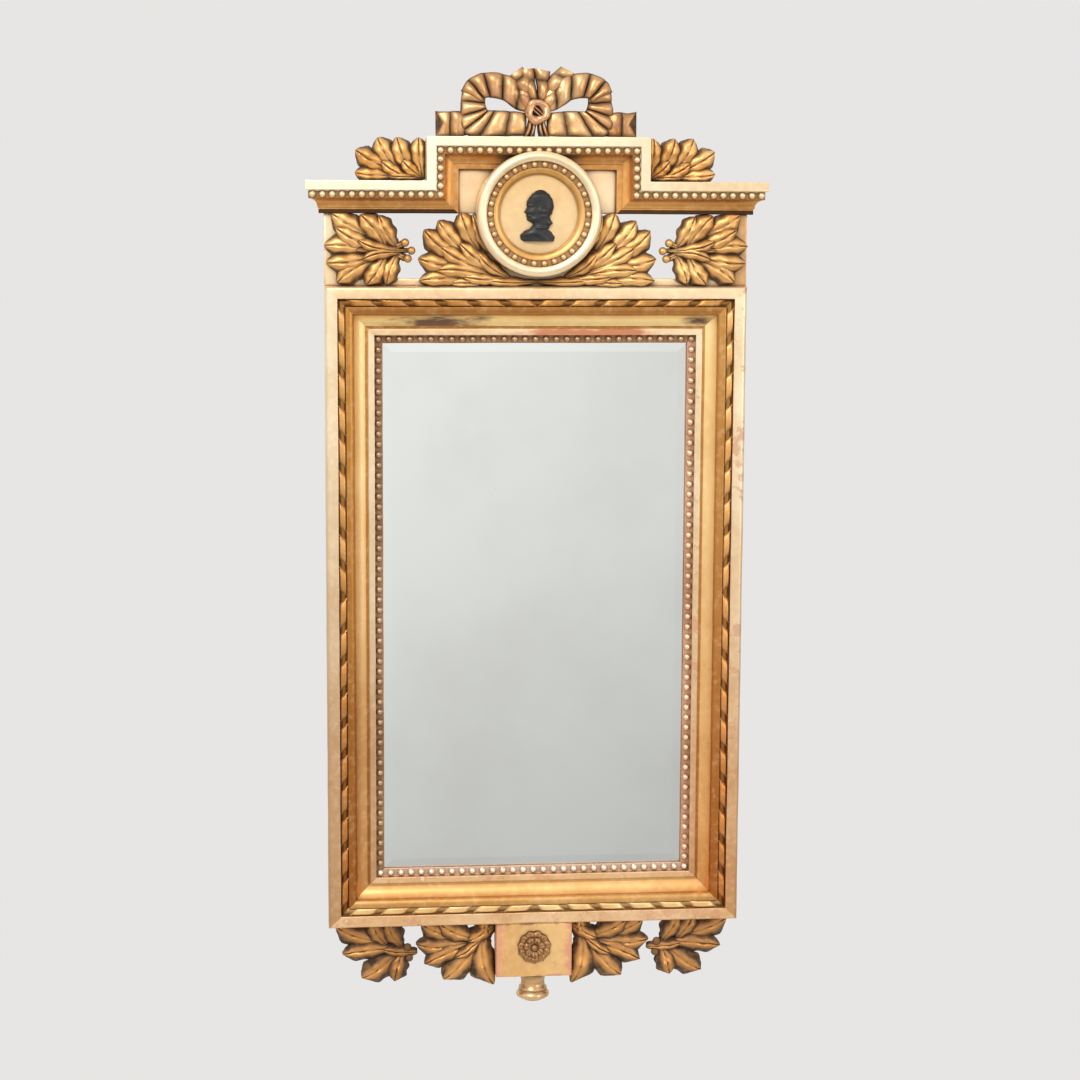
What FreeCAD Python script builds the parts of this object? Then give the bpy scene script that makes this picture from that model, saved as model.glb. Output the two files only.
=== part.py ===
import FreeCAD, Part
import math
import os
import Sketcher
from FreeCAD import Matrix, Placement, Rotation, Vector

# Gilded wall mirror. Millimetres; X runs to the right, Z up, and the front faces -Y.
# The wall is the plane Y = 0, and the origin is the centre of the backboard's back face.

doc = FreeCAD.newDocument("gilded_wall_mirror")
sheet = doc.addObject("Spreadsheet::Sheet", "Sizes")

SIZES = {
    # Frame, and its moulding from the outer edge inwards
    "frame_width": 420,
    "frame_height": 651,
    "frame_depth": 32,
    "arris_radius": 4,
    "fillet_width": 8.5,
    "channel_width": 8,
    "channel_depth": 6,
    "bead_fillet_width": 3.5,
    "bead_fillet_drop": 1.5,
    "ovolo_width": 5,
    "ovolo_drop": 5.5,
    "cove_width": 14,
    "cove_drop": 7.5,
    "quirk_rise": 1.5,
    "inner_fillet_width": 6,
    "inner_fillet_drop": 6,
    "pearl_bed_width": 8,
    "sight_lip": 3,
    "rebate_width": 9,
    # Glass and its backing
    "glass_thickness": 4,
    "glass_edge_gap": 1.5,
    "glass_bevel_width": 9,
    "glass_bevel_drop": 1.2,
    "board_thickness": 8,
    "board_lap": 16,
    "board_chamfer": 3,
    "block_length": 46,
    "nail_radius": 1.2,
    "nail_head_radius": 2.6,
    "nail_head_height": 1,
    "nail_length": 20,
    # Ribbon-twist band and pearl strings
    "twist_pitch": 32,
    "twist_rod_height": 2,
    "twist_rise": 5,
    "sight_pearl_radius": 3.4,
    "sight_pearl_pitch": 10,
    "cornice_pearl_radius": 3.5,
    "cornice_pearl_pitch": 10.8,
    "medallion_pearl_radius": 3.1,
    "medallion_pearl_pitch": 9.5,
    "pearl_slip": 0.9,
    # Frieze
    "frieze_height": 71,
    "frieze_depth": 24,
    "post_width": 22,
    "sill_height": 7,
    "tablet_neck_width": 124,
    # Cornice
    "cornice_overhang": 18,
    "cornice_height": 32,
    "cornice_fillet_height": 9.5,
    "cornice_fillet_lip": 3,
    "cornice_pearl_bed": 8,
    "cornice_bead_height": 5.5,
    "cornice_bead_lip": 5,
    "cornice_quirk": 1,
    "raised_width": 220,
    "raised_height": 43,
    # Medallion
    "medallion_radius": 61,
    "medallion_height": 26,
    "medallion_band": 9.5,
    "medallion_arris": 1.5,
    "medallion_bed": 6.6,
    "medallion_bed_drop": 5,
    "medallion_inner_band": 6.4,
    "medallion_inner_drop": 4,
    "medallion_disc_radius": 40,
    "medallion_disc_thickness": 17,
    "medallion_notch_room": 1.2,
    "bust_width": 37,
    "bust_height": 51,
    "bust_relief": 8,
    # Carved leaf sprays
    "leaf_relief": 13,
    "wreath_spray_width": 118,
    "frieze_spray_gap": 4,
    "cornice_spray_width": 69,
    "cornice_spray_height": 43,
    "cornice_spray_setback": 8,
    "lower_inner_spray_width": 80,
    "lower_spray_inset": 9,
    "lower_spray_height": 66,
    "lower_spray_setback": 6,
    "berry_radius": 3.8,
    # Ribbon bow
    "bow_inset": 10,
    "bow_height": 68,
    "bow_relief": 16,
    "bow_setback": 8,
    # Below the frame
    "lower_tablet_width": 78,
    "lower_tablet_height": 57,
    "lower_tablet_depth": 28,
    "lower_tablet_chamfer": 1.5,
    "rosette_radius": 17.5,
    "rosette_relief": 7,
    "rosette_drop": 25,
    "finial_radius": 17,
    "finial_height": 28,
    # Hanger at the back
    "batten_width": 26,
    "batten_spacing": 92,
    "plate_width": 24,
    "plate_height": 58,
    "plate_thickness": 2.5,
    "plate_rise": 78,
    "eye_drop": 22,
    "eye_radius": 1.9,
    "eye_wall": 1.1,
    "eye_thickness": 3,
    "ring_radius": 15,
    "ring_wire_radius": 1.5,
    "screw_radius": 2,
    "screw_head_radius": 3.6,
    "screw_length": 18,
    "screw_spacing": 26,
    "screw_rise": 7,
    # One overrun serves all cuts
    "overrun": 5,
}

for row, (alias, value) in enumerate(SIZES.items(), start=1):
    sheet.set(f"A{row}", alias.replace("_", " "))
    sheet.set(f"B{row}", str(value))
    sheet.setAlias(f"B{row}", alias)
doc.recompute()


class Size(float):
    """A length that keeps the sheet formula it was worked out by."""

    def __new__(cls, value, formula):
        length = super().__new__(cls, value)
        length.formula = formula
        return length

    def __add__(self, other):
        return Size(float(self) + float(other), f"({self.formula} + {formula_of(other)})")

    def __radd__(self, other):
        return Size(float(other) + float(self), f"({formula_of(other)} + {self.formula})")

    def __sub__(self, other):
        return Size(float(self) - float(other), f"({self.formula} - {formula_of(other)})")

    def __rsub__(self, other):
        return Size(float(other) - float(self), f"({formula_of(other)} - {self.formula})")

    def __mul__(self, factor):
        return Size(float(self) * float(factor), f"({self.formula} * {formula_of(factor)})")

    __rmul__ = __mul__

    def __truediv__(self, divisor):
        return Size(float(self) / float(divisor), f"({self.formula} / {formula_of(divisor)})")

    def __neg__(self):
        return Size(-float(self), f"(0 - {self.formula})")


def formula_of(number):
    return number.formula if isinstance(number, Size) else repr(float(number))


def size(alias):
    return Size(getattr(sheet, alias), f"Sizes.{alias}")


def span(across, along):
    """Straight distance from its two legs."""
    formula = f"sqrt({formula_of(across)} ^ 2 + {formula_of(along)} ^ 2)"
    return Size(math.hypot(across, along), formula)


ORIGIN = Vector(0, 0, 0)
RIGHT = Vector(1, 0, 0)
BACK = Vector(0, 1, 0)
UP = Vector(0, 0, 1)
FRONT = -BACK
nodes = []


def bind(thing, **lengths):
    for name, length in lengths.items():
        setattr(thing, name, float(length))
        if isinstance(length, Size):
            thing.setExpression(name, length.formula)


def stand(thing, x, depth, z, across=RIGHT, upward=UP):
    """Put a piece's own origin at x, z and a depth from the wall, and tie the place to the sheet."""
    outward = across.cross(upward)
    turn = Matrix(across.x, upward.x, outward.x, 0,
                  across.y, upward.y, outward.y, 0,
                  across.z, upward.z, outward.z, 0,
                  0, 0, 0, 1)
    thing.Placement = Placement(Vector(x, -depth, z), Rotation(turn))
    for axis, place in (("x", x), ("y", -depth), ("z", z)):
        if isinstance(place, Size):
            thing.setExpression(f"Placement.Base.{axis}", place.formula)


def new_body(label):
    body = doc.addObject("PartDesign::Body", label)
    nodes.append(body)
    return body


def new_box(label, wide, deep, tall):
    box = doc.addObject("Part::Box", label)
    bind(box, Length=wide, Width=deep, Height=tall)
    nodes.append(box)
    return box


def new_carving(label, shape):
    feature = doc.addObject("Part::Feature", label)
    feature.Shape = shape
    nodes.append(feature)
    return feature


def own_plane(body, role):
    return next(plane for plane in body.Origin.OriginFeatures if plane.Role == role)


def outline(body, name, role, corners, rise_shares=None):
    """Closed outline on one of the body's own planes, with every corner tied to the sheet.

    A rise share makes the edge after that corner an arc, which rises to the right of the way
    it is drawn by that share of its chord.
    """
    rise_shares = rise_shares or {}
    sketch = body.newObject("Sketcher::SketchObject", name)
    sketch.AttachmentSupport = (own_plane(body, role), "")
    sketch.MapMode = "FlatFace"
    edges = []
    for index, start in enumerate(corners):
        end = corners[(index + 1) % len(corners)]
        first, last = Vector(*start), Vector(*end)
        chord = last - first
        if index not in rise_shares:
            edges.append((sketch.addGeometry(Part.LineSegment(first, last)), 1, 2))
            continue
        rise = rise_shares[index]
        middle = (first + last) * 0.5 + Vector(chord.y, -chord.x) * rise
        ends = (first, middle, last) if rise > 0 else (last, middle, first)
        edge = sketch.addGeometry(Part.Arc(*ends))
        edges.append((edge, 1, 2) if rise > 0 else (edge, 2, 1))
        reach = span(end[0] - start[0], end[1] - start[1]) * ((rise ** 2 + 0.25) / abs(2 * rise))
        hold(sketch, "Radius", edge, length=reach)
    for index, (edge, start_end, far_end) in enumerate(edges):
        following = edges[(index + 1) % len(edges)]
        sketch.addConstraint(Sketcher.Constraint("Coincident", edge, far_end, following[0], following[1]))
        for kind, axis, place in zip(("DistanceX", "DistanceY"), (-2, -1), corners[index]):
            if place == 0:
                sketch.addConstraint(Sketcher.Constraint("PointOnObject", edge, start_end, axis))
            else:
                hold(sketch, kind, -1, 1, edge, start_end, length=place)
    return sketch


def round_outline(body, name, role, x, y, radius):
    sketch = body.newObject("Sketcher::SketchObject", name)
    sketch.AttachmentSupport = (own_plane(body, role), "")
    sketch.MapMode = "FlatFace"
    circle = sketch.addGeometry(Part.Circle(Vector(x, y, 0), UP, radius))
    hold(sketch, "Radius", circle, length=radius)
    for kind, axis, place in (("DistanceX", -2, x), ("DistanceY", -1, y)):
        if place == 0:
            sketch.addConstraint(Sketcher.Constraint("PointOnObject", circle, 3, axis))
        else:
            hold(sketch, kind, -1, 1, circle, 3, length=place)
    return sketch


def hold(sketch, kind, *picks, length):
    constraint = sketch.addConstraint(Sketcher.Constraint(kind, *picks, float(length)))
    sketch.setExpression(f"Constraints[{constraint}]", length.formula)


def pad(body, sketch, length):
    feature = body.newObject("PartDesign::Pad", f"{sketch.Name}_pad")
    feature.Profile = sketch
    bind(feature, Length=length)
    return feature


def cut_through(body, sketch):
    feature = body.newObject("PartDesign::Pocket", f"{sketch.Name}_cut")
    feature.Profile = sketch
    feature.Type = "ThroughAll"
    feature.SideType = "Symmetric"
    return feature


def turned(body, sketch):
    feature = body.newObject("PartDesign::Revolution", f"{sketch.Name}_turning")
    feature.Profile = sketch
    feature.ReferenceAxis = (sketch, ["V_Axis"])
    feature.Angle = 360
    return feature


def mitre(body, name, role, reach, length, longest_near, at_end):
    """Saw one end at 45 degrees. The piece stays longest at the near or at the far side of the reach."""
    if at_end:
        tall, short = length, length - reach
    else:
        tall, short = 0, reach
    corner = (reach, short) if longest_near else (0, short)
    triangle = [(0, tall), (reach, tall), corner]
    cut_through(body, outline(body, name, role, triangle))


FLAT_SHARE = 1e-6
NEAR_SHARE = 0.001


def panel(*corners):
    return Part.Face(Part.makePolygon([*corners, corners[0]]))


def panels(first, second, third, fourth):
    """One flat panel between four corners, or two where they are twisted."""
    twist = (second - first).cross(third - first).dot(fourth - first)
    if abs(twist) < FLAT_SHARE * (third - first).Length ** 3:
        return [panel(first, second, third, fourth)]
    return [panel(first, second, third), panel(first, third, fourth)]


def ruled(sections):
    """Solid with flat facets through closed sections that have the same number of corners."""
    facets = [panel(*sections[0]), panel(*sections[-1])]
    for near, far in zip(sections, sections[1:]):
        for index in range(len(near)):
            facets += panels(near[index - 1], near[index], far[index], far[index - 1])
    solid = Part.Solid(Part.Shell(facets))
    if solid.Volume < 0:
        solid.reverse()
    return solid


# Frame: four lengths of one moulding, mitred at the corners, with a rebate at the back for the glass

board = size("board_thickness")
frame_half_width = size("frame_width") / 2
frame_half_height = size("frame_height") / 2

channel_start = size("arris_radius") + size("fillet_width")
bead_start = channel_start + size("channel_width")
ovolo_start = bead_start + size("bead_fillet_width")
cove_start = ovolo_start + size("ovolo_width")
inner_start = cove_start + size("cove_width")
pearl_bed_start = inner_start + size("inner_fillet_width")
moulding_width = pearl_bed_start + size("pearl_bed_width")
rebate_start = moulding_width - size("rebate_width")

fillet_top = size("frame_depth")
channel_floor = fillet_top - size("channel_depth")
bead_top = fillet_top - size("bead_fillet_drop")
cove_top = bead_top - size("ovolo_drop")
cove_foot = cove_top - size("cove_drop")
inner_top = cove_foot + size("quirk_rise")
pearl_bed_top = inner_top - size("inner_fillet_drop")
rebate_top = pearl_bed_top - size("sight_lip")

QUARTER_SHARE = (math.sqrt(2) - 1) / 2
HOLLOW_SHARE = -0.13


def moulding(label, length):
    body = new_body(label)
    corners = [
        (0, 0), (rebate_start, 0), (rebate_start, rebate_top), (moulding_width, rebate_top),
        (moulding_width, pearl_bed_top), (pearl_bed_start, pearl_bed_top), (pearl_bed_start, inner_top),
        (inner_start, inner_top), (inner_start, cove_foot), (cove_start, cove_top), (ovolo_start, bead_top),
        (bead_start, bead_top), (bead_start, channel_floor), (channel_start, channel_floor),
        (channel_start, fillet_top), (size("arris_radius"), fillet_top),
        (0, fillet_top - size("arris_radius")),
    ]
    rise_shares = {8: HOLLOW_SHARE, 9: QUARTER_SHARE, 15: QUARTER_SHARE}
    pad(body, outline(body, f"{label}_profile", "XY_Plane", corners, rise_shares), length)
    for at_end, end in ((False, "first"), (True, "last")):
        mitre(body, f"{label}_{end}_mitre", "XZ_Plane", moulding_width, length, True, at_end)
    return body


for label, length, x, z, inward in (
    ("top_rail", size("frame_width"), frame_half_width, frame_half_height, -UP),
    ("left_stile", size("frame_height"), -frame_half_width, frame_half_height, RIGHT),
    ("bottom_rail", size("frame_width"), -frame_half_width, -frame_half_height, UP),
    ("right_stile", size("frame_height"), frame_half_width, -frame_half_height, -RIGHT),
):
    stand(moulding(label, length), x, board, z, across=inward, upward=FRONT)


# Glass: one plate with a ground bevel, held in the rebate by glue blocks behind it

sight_width = size("frame_width") - moulding_width * 2
sight_height = size("frame_height") - moulding_width * 2
glass_reach = size("rebate_width") - size("glass_edge_gap")
glass_width = sight_width + glass_reach * 2
glass_height = sight_height + glass_reach * 2
glass_front = board + rebate_top


def rectangle(wide, tall):
    return [(0, 0), (wide, 0), (wide, tall), (0, tall)]


def edges_at_height(shape, height):
    return [
        f"Edge{number}" for number, edge in enumerate(shape.Edges, start=1)
        if all(abs(vertex.Z - height) < height * NEAR_SHARE for vertex in edge.Vertexes)
    ]


glass = new_body("mirror_glass")
glass_outline = outline(glass, "glass_outline", "XY_Plane", rectangle(glass_width, glass_height))
glass_plate = pad(glass, glass_outline, size("glass_thickness"))
doc.recompute()
bevel = glass.newObject("PartDesign::Chamfer", "glass_bevel")
bevel.Base = (glass_plate, edges_at_height(glass_plate.Shape, size("glass_thickness")))
bevel.ChamferType = "Two distances"
bind(bevel, Size=size("glass_bevel_drop"), Size2=size("glass_bevel_width") + glass_reach)
stand(glass, -glass_width / 2, glass_front - size("glass_thickness"), -glass_height / 2)

block_height = rebate_top - size("glass_thickness")
BLOCK_PLACE_SHARES = (-0.3, 0.3)
blocks = []
for place_share in BLOCK_PLACE_SHARES:
    for side in (-1, 1):
        level = side * (sight_height / 2 + size("rebate_width") / 2)
        wide = Part.makeBox(size("block_length"), size("rebate_width"), block_height)
        blocks.append(wide.translate(Vector(place_share * glass_width - size("block_length") / 2,
                                            level - size("rebate_width") / 2, 0)))
        edge = side * (sight_width / 2 + size("rebate_width") / 2)
        tall = Part.makeBox(size("rebate_width"), size("block_length"), block_height)
        blocks.append(tall.translate(Vector(edge - size("rebate_width") / 2,
                                            place_share * glass_height - size("block_length") / 2, 0)))
stand(new_carving("glass_blocks", Part.makeCompound(blocks)), 0, board, 0)

board_width = sight_width + size("rebate_width") * 2 + size("board_lap") * 2
board_height = sight_height + size("rebate_width") * 2 + size("board_lap") * 2
backboard = new_body("backboard")
board_outline = outline(backboard, "board_outline", "XY_Plane", rectangle(board_width, board_height))
board_plate = pad(backboard, board_outline, board)
doc.recompute()
board_edge = backboard.newObject("PartDesign::Chamfer", "board_edge")
board_edge.Base = (board_plate, edges_at_height(board_plate.Shape, board))
bind(board_edge, Size=size("board_chamfer"))
stand(backboard, board_width / 2, board, -board_height / 2, across=-RIGHT)

NAIL_PLACE_SHARES = (-0.42, -0.14, 0.14, 0.42)
nails = []
nail_inset = size("board_lap") / 2
for place_share in NAIL_PLACE_SHARES:
    for side in (-1, 1):
        for x, z in ((place_share * board_width, side * (board_height / 2 - nail_inset)),
                     (side * (board_width / 2 - nail_inset), place_share * board_height)):
            shank = Part.makeCylinder(size("nail_radius"), size("nail_length"), Vector(x, z, 0))
            head = Part.makeCylinder(size("nail_head_radius"), size("nail_head_height"), Vector(x, z, 0))
            nails.append(shank.fuse(head))
stand(new_carving("backboard_nails", Part.makeCompound(nails)), 0, 0, 0)


# Ribbon-twist bands: a slim rod in the frame's channel, wound with a flat ribbon that shows as slanting turns
# and leans the other way past the middle of each side

TWIST_TURN_SHARE = 0.74
TWIST_SLANT_SHARE = 0.26
TWIST_LEVEL_SHARES = ((1.0, 0.0), (0.94, 0.6), (0.66, 1.0))


def twist_turn(pitch, wide, rise):
    """One slanting turn of the ribbon, crowned, around its own middle."""
    half_long = pitch * TWIST_TURN_SHARE / 2
    half_wide = wide / 2
    slant = pitch * TWIST_SLANT_SHARE
    plan = [(-half_long, -half_wide), (half_long - slant, -half_wide), (half_long, half_wide),
            (slant - half_long, half_wide)]
    return ruled([
        [Vector(x * spread_share, y * spread_share, rise * rise_share) for x, y in plan]
        for spread_share, rise_share in TWIST_LEVEL_SHARES
    ])


def twist_band(length):
    wide = size("channel_width")
    near, far = channel_start, bead_start
    rod = ruled([
        [Vector(near, near, 0), Vector(far, far, 0), Vector(far, far, size("twist_rod_height")),
         Vector(near, near, size("twist_rod_height"))],
        [Vector(length - near, near, 0), Vector(length - far, far, 0),
         Vector(length - far, far, size("twist_rod_height")),
         Vector(length - near, near, size("twist_rod_height"))],
    ])
    straight = length - far * 2
    count = round(straight / size("twist_pitch"))
    pitch = straight / count
    turn = twist_turn(pitch, wide, size("twist_rise") - size("twist_rod_height"))
    turned_back = turn.mirror(ORIGIN, RIGHT)
    turns = [
        (turn if index < count / 2 else turned_back).translated(
            Vector(far + pitch * (index + 0.5), near + wide / 2, size("twist_rod_height")))
        for index in range(count)
    ]
    return rod.multiFuse(turns)


for label, length, x, z, along in (
    ("twist_bottom", size("frame_width"), -frame_half_width, -frame_half_height, RIGHT),
    ("twist_right", size("frame_height"), frame_half_width, -frame_half_height, UP),
    ("twist_top", size("frame_width"), frame_half_width, frame_half_height, -RIGHT),
    ("twist_left", size("frame_height"), -frame_half_width, frame_half_height, -UP),
):
    upward = FRONT.cross(along)
    stand(new_carving(label, twist_band(length)), x, board + channel_floor, z, across=along, upward=upward)


# Pearl strings: turned half pearls on a thin slip

PEARL_SIDES = 6
PEARL_LEVEL_SHARES = ((1.0, 0.0), (0.64, 0.8))


def pearl_section(radius, level):
    start = Vector(radius, 0, level)
    return [Rotation(UP, 360 * side / PEARL_SIDES).multVec(start) for side in range(PEARL_SIDES)]


def pearl(radius, lift=0):
    """A half pearl, on a stump of its own width where it is lifted."""
    sections = [pearl_section(radius * spread_share, lift + radius * rise_share)
                for spread_share, rise_share in PEARL_LEVEL_SHARES]
    if lift:
        sections.insert(0, pearl_section(radius, 0))
    return ruled(sections)


def pearl_string(length, radius, pitch, wide):
    """A slip from the origin along X, centred on Y = 0, with pearls at an even pitch."""
    slip = Part.makeBox(length, wide, size("pearl_slip"), Vector(0, -wide / 2, 0))
    count = max(1, round(length / pitch))
    bead = pearl(radius)
    step = length / count
    beads = [bead.translated(Vector(step * (index + 0.5), 0, size("pearl_slip"))) for index in range(count)]
    return slip.multiFuse(beads)


pearl_line = moulding_width - size("pearl_bed_width") / 2
slip_width = size("sight_pearl_radius") * 2
long_string = size("frame_width") - (moulding_width - size("pearl_bed_width")) * 2
side_string = sight_height - (slip_width - size("pearl_bed_width"))
for label, length, x, z, along in (
    ("sight_pearls_bottom", long_string, -long_string / 2, pearl_line - frame_half_height, RIGHT),
    ("sight_pearls_top", long_string, long_string / 2, frame_half_height - pearl_line, -RIGHT),
    ("sight_pearls_right", side_string, frame_half_width - pearl_line, -side_string / 2, UP),
    ("sight_pearls_left", side_string, pearl_line - frame_half_width, side_string / 2, -UP),
):
    string = pearl_string(length, size("sight_pearl_radius"), size("sight_pearl_pitch"), slip_width)
    stand(new_carving(label, string), x, board + pearl_bed_top, z, across=along, upward=FRONT.cross(along))


# Frieze: two end posts, a sill on the top rail and a stepped tablet that carries the medallion

crest_foot = frame_half_height
cornice_foot = crest_foot + size("frieze_height")
frieze_front = board + size("frieze_depth")
cornice_depth = size("frieze_depth") + size("cornice_overhang")
cornice_top_level = cornice_foot + size("cornice_height")
raised_top_level = cornice_top_level + size("raised_height")
riser_inner = size("raised_width") / 2 - size("cornice_height")

for label, x in (("frieze_post_left", -frame_half_width),
                 ("frieze_post_right", frame_half_width - size("post_width"))):
    post = new_box(label, size("post_width"), size("frieze_depth"), size("frieze_height"))
    stand(post, x, frieze_front, crest_foot, upward=BACK)

sill_length = size("frame_width") - size("post_width") * 2
sill = new_box("frieze_sill", sill_length, size("frieze_depth"), size("sill_height"))
stand(sill, -sill_length / 2, frieze_front, crest_foot, upward=BACK)

tablet_shoulder = size("frieze_height") - size("sill_height")
tablet_height = tablet_shoulder + size("raised_height")
neck_start = riser_inner - size("tablet_neck_width") / 2
tablet = new_body("centre_tablet")
pad(tablet, outline(tablet, "tablet_outline", "XY_Plane", [
    (neck_start, 0), (neck_start + size("tablet_neck_width"), 0),
    (neck_start + size("tablet_neck_width"), tablet_shoulder), (riser_inner * 2, tablet_shoulder),
    (riser_inner * 2, tablet_height), (0, tablet_height), (0, tablet_shoulder), (neck_start, tablet_shoulder),
]), size("frieze_depth"))
stand(tablet, -riser_inner, board, crest_foot + size("sill_height"))


# Cornice: one moulding mitred up over the tablet and back at both ends, with a pearl string under its fillet

fillet_foot = size("cornice_height") - size("cornice_fillet_height")
pearl_foot = fillet_foot - size("cornice_pearl_bed")
pearl_face = cornice_depth - size("cornice_fillet_lip")
bead_face = size("frieze_depth") + size("cornice_bead_lip")


def cornice_run(label, length, ends):
    """Moulding along Z with its face towards X and its top towards Y; ends lists the mitres to saw."""
    body = new_body(label)
    corners = [
        (0, 0), (bead_face, 0), (bead_face, size("cornice_bead_height")),
        (bead_face + size("cornice_quirk"), size("cornice_bead_height")),
        (pearl_face - size("cornice_quirk"), pearl_foot), (pearl_face, pearl_foot), (pearl_face, fillet_foot),
        (cornice_depth, fillet_foot), (cornice_depth, size("cornice_height")), (0, size("cornice_height")),
    ]
    profile = outline(body, f"{label}_profile", "XY_Plane", corners, {3: -QUARTER_SHARE})
    pad(body, profile, length)
    for at_end, (role, longest_near) in ends.items():
        reach = cornice_depth if role == "XZ_Plane" else size("cornice_height")
        name = f"{label}_last_mitre" if at_end else f"{label}_first_mitre"
        mitre(body, name, role, reach, length, longest_near, at_end)
    return body


RETURN_MITRE = ("XZ_Plane", False)
FOOT_MITRE = ("YZ_Plane", True)
HEAD_MITRE = ("YZ_Plane", False)
cornice_half_width = frame_half_width + size("cornice_overhang")
low_length = cornice_half_width - riser_inner
riser_length = size("raised_height") + size("cornice_height")
return_start = cornice_half_width - cornice_depth
raised_half = size("raised_width") / 2

stand(cornice_run("cornice_low_left", low_length, {False: FOOT_MITRE, True: RETURN_MITRE}),
      -riser_inner, board, cornice_foot, across=FRONT)
stand(cornice_run("cornice_low_right", low_length, {False: RETURN_MITRE, True: FOOT_MITRE}),
      cornice_half_width, board, cornice_foot, across=FRONT)
stand(cornice_run("cornice_riser_left", riser_length, {False: HEAD_MITRE, True: FOOT_MITRE}),
      -riser_inner, board, raised_top_level, across=FRONT, upward=-RIGHT)
stand(cornice_run("cornice_riser_right", riser_length, {False: FOOT_MITRE, True: HEAD_MITRE}),
      riser_inner, board, cornice_foot, across=FRONT, upward=RIGHT)
stand(cornice_run("cornice_top", size("raised_width"), {False: HEAD_MITRE, True: HEAD_MITRE}),
      raised_half, board, raised_top_level - size("cornice_height"), across=FRONT)
stand(cornice_run("cornice_return_left", cornice_depth, {False: RETURN_MITRE}),
      -return_start, board + cornice_depth, cornice_foot, across=-RIGHT)
stand(cornice_run("cornice_return_right", cornice_depth, {True: RETURN_MITRE}),
      return_start, board, cornice_foot, across=RIGHT)

bed_middle = fillet_foot - size("cornice_pearl_bed") / 2
bed_inset = size("cornice_height") - bed_middle
string_width = size("cornice_pearl_radius") * 2
half_slip = string_width / 2
string_depth = board + pearl_face
low_string = cornice_half_width - size("cornice_fillet_lip") - raised_half + bed_inset + half_slip
riser_string = size("raised_height") - string_width
top_string = size("raised_width") - bed_inset * 2 + string_width
for label, length, x, z, along in (
    ("pearls_low_left", low_string, half_slip + bed_inset - raised_half, cornice_foot + bed_middle, -RIGHT),
    ("pearls_low_right", low_string, raised_half - bed_inset - half_slip, cornice_foot + bed_middle, RIGHT),
    ("pearls_riser_left", riser_string, bed_inset - raised_half, cornice_foot + bed_middle + half_slip, UP),
    ("pearls_riser_right", riser_string, raised_half - bed_inset, cornice_foot + bed_middle + half_slip, UP),
    ("pearls_top", top_string, -top_string / 2, raised_top_level - bed_inset, RIGHT),
):
    string = pearl_string(length, size("cornice_pearl_radius"), size("cornice_pearl_pitch"), string_width)
    stand(new_carving(label, string), x, string_depth, z, across=along, upward=FRONT.cross(along))


# Medallion: a turned ring on the tablet, notched at the back over the cornice, with pearls and a plain disc

medallion_level = cornice_foot
band_start = size("medallion_radius") - size("medallion_band")
bed_start = band_start - size("medallion_bed")
inner_band_start = bed_start - size("medallion_inner_band")
ring_bed = size("medallion_height") - size("medallion_bed_drop")
arris = size("medallion_arris")

ring = new_body("medallion_ring")
turned(ring, outline(ring, "ring_profile", "XZ_Plane", [
    (size("medallion_disc_radius"), 0), (size("medallion_radius"), 0),
    (size("medallion_radius"), size("medallion_height") - arris),
    (size("medallion_radius") - arris, size("medallion_height")), (band_start, size("medallion_height")),
    (band_start, ring_bed), (bed_start, ring_bed), (bed_start, ring_bed + arris),
    (inner_band_start, ring_bed + arris - size("medallion_inner_drop")),
    (inner_band_start, size("medallion_disc_thickness")),
    (size("medallion_disc_radius"), size("medallion_disc_thickness")),
], {2: QUARTER_SHARE, 7: QUARTER_SHARE}))
notch_height = raised_top_level - size("cornice_height") - medallion_level
notch = outline(ring, "cornice_notch", "YZ_Plane", [
    (notch_height, 0), (size("medallion_radius") + size("overrun"), 0),
    (size("medallion_radius") + size("overrun"), size("cornice_overhang") + size("medallion_notch_room")),
    (notch_height, size("cornice_overhang") + size("medallion_notch_room")),
])
cut_through(ring, notch)
stand(ring, 0, frieze_front, medallion_level)

disc = new_body("medallion_disc")
turned(disc, outline(disc, "disc_profile", "XZ_Plane",
                     rectangle(size("medallion_disc_radius"), size("medallion_disc_thickness"))))
stand(disc, 0, frieze_front, medallion_level)

pearl_ring_radius = band_start - size("medallion_bed") / 2
ring_count = round(2 * math.pi * pearl_ring_radius / size("medallion_pearl_pitch"))
pearl_ring_slip = Part.makeCylinder(pearl_ring_radius + size("medallion_bed") / 2, size("pearl_slip"))
pearl_ring_hole = Part.makeCylinder(pearl_ring_radius - size("medallion_bed") / 2, size("pearl_slip"))
ring_pearl = pearl(size("medallion_pearl_radius"))
ring_pearl.translate(Vector(pearl_ring_radius, 0, size("pearl_slip")))
ring_pearls = [ring_pearl.rotated(ORIGIN, UP, 360 * index / ring_count) for index in range(ring_count)]
pearl_ring = pearl_ring_slip.cut(pearl_ring_hole).multiFuse(ring_pearls)
stand(new_carving("medallion_pearls", pearl_ring), 0, frieze_front + ring_bed, medallion_level)

# Bust in relief: a plain head in profile, short hair and a draped shoulder, as shares of its width and height
BUST_OUTLINE_SHARES = (
    (0.06, 0.03), (0.5, 0.0), (0.94, 0.02), (0.92, 0.13), (0.72, 0.27), (0.88, 0.42), (0.96, 0.62),
    (0.88, 0.84), (0.65, 0.98), (0.38, 0.95), (0.25, 0.8), (0.22, 0.69), (0.13, 0.59), (0.2, 0.55),
    (0.19, 0.45), (0.34, 0.39), (0.36, 0.29), (0.12, 0.21), (0.0, 0.11),
)
BUST_LEVEL_SHARES = ((1.0, 0.0), (0.98, 0.5), (0.7, 1.0))
BUST_MIDDLE_SHARE = 0.52


def bust_section(spread_share, rise_share):
    return [
        Vector(size("bust_width") * ((x - BUST_MIDDLE_SHARE) * spread_share),
               size("bust_height") * ((z - BUST_MIDDLE_SHARE) * spread_share),
               size("bust_relief") * rise_share)
        for x, z in BUST_OUTLINE_SHARES
    ]


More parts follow.
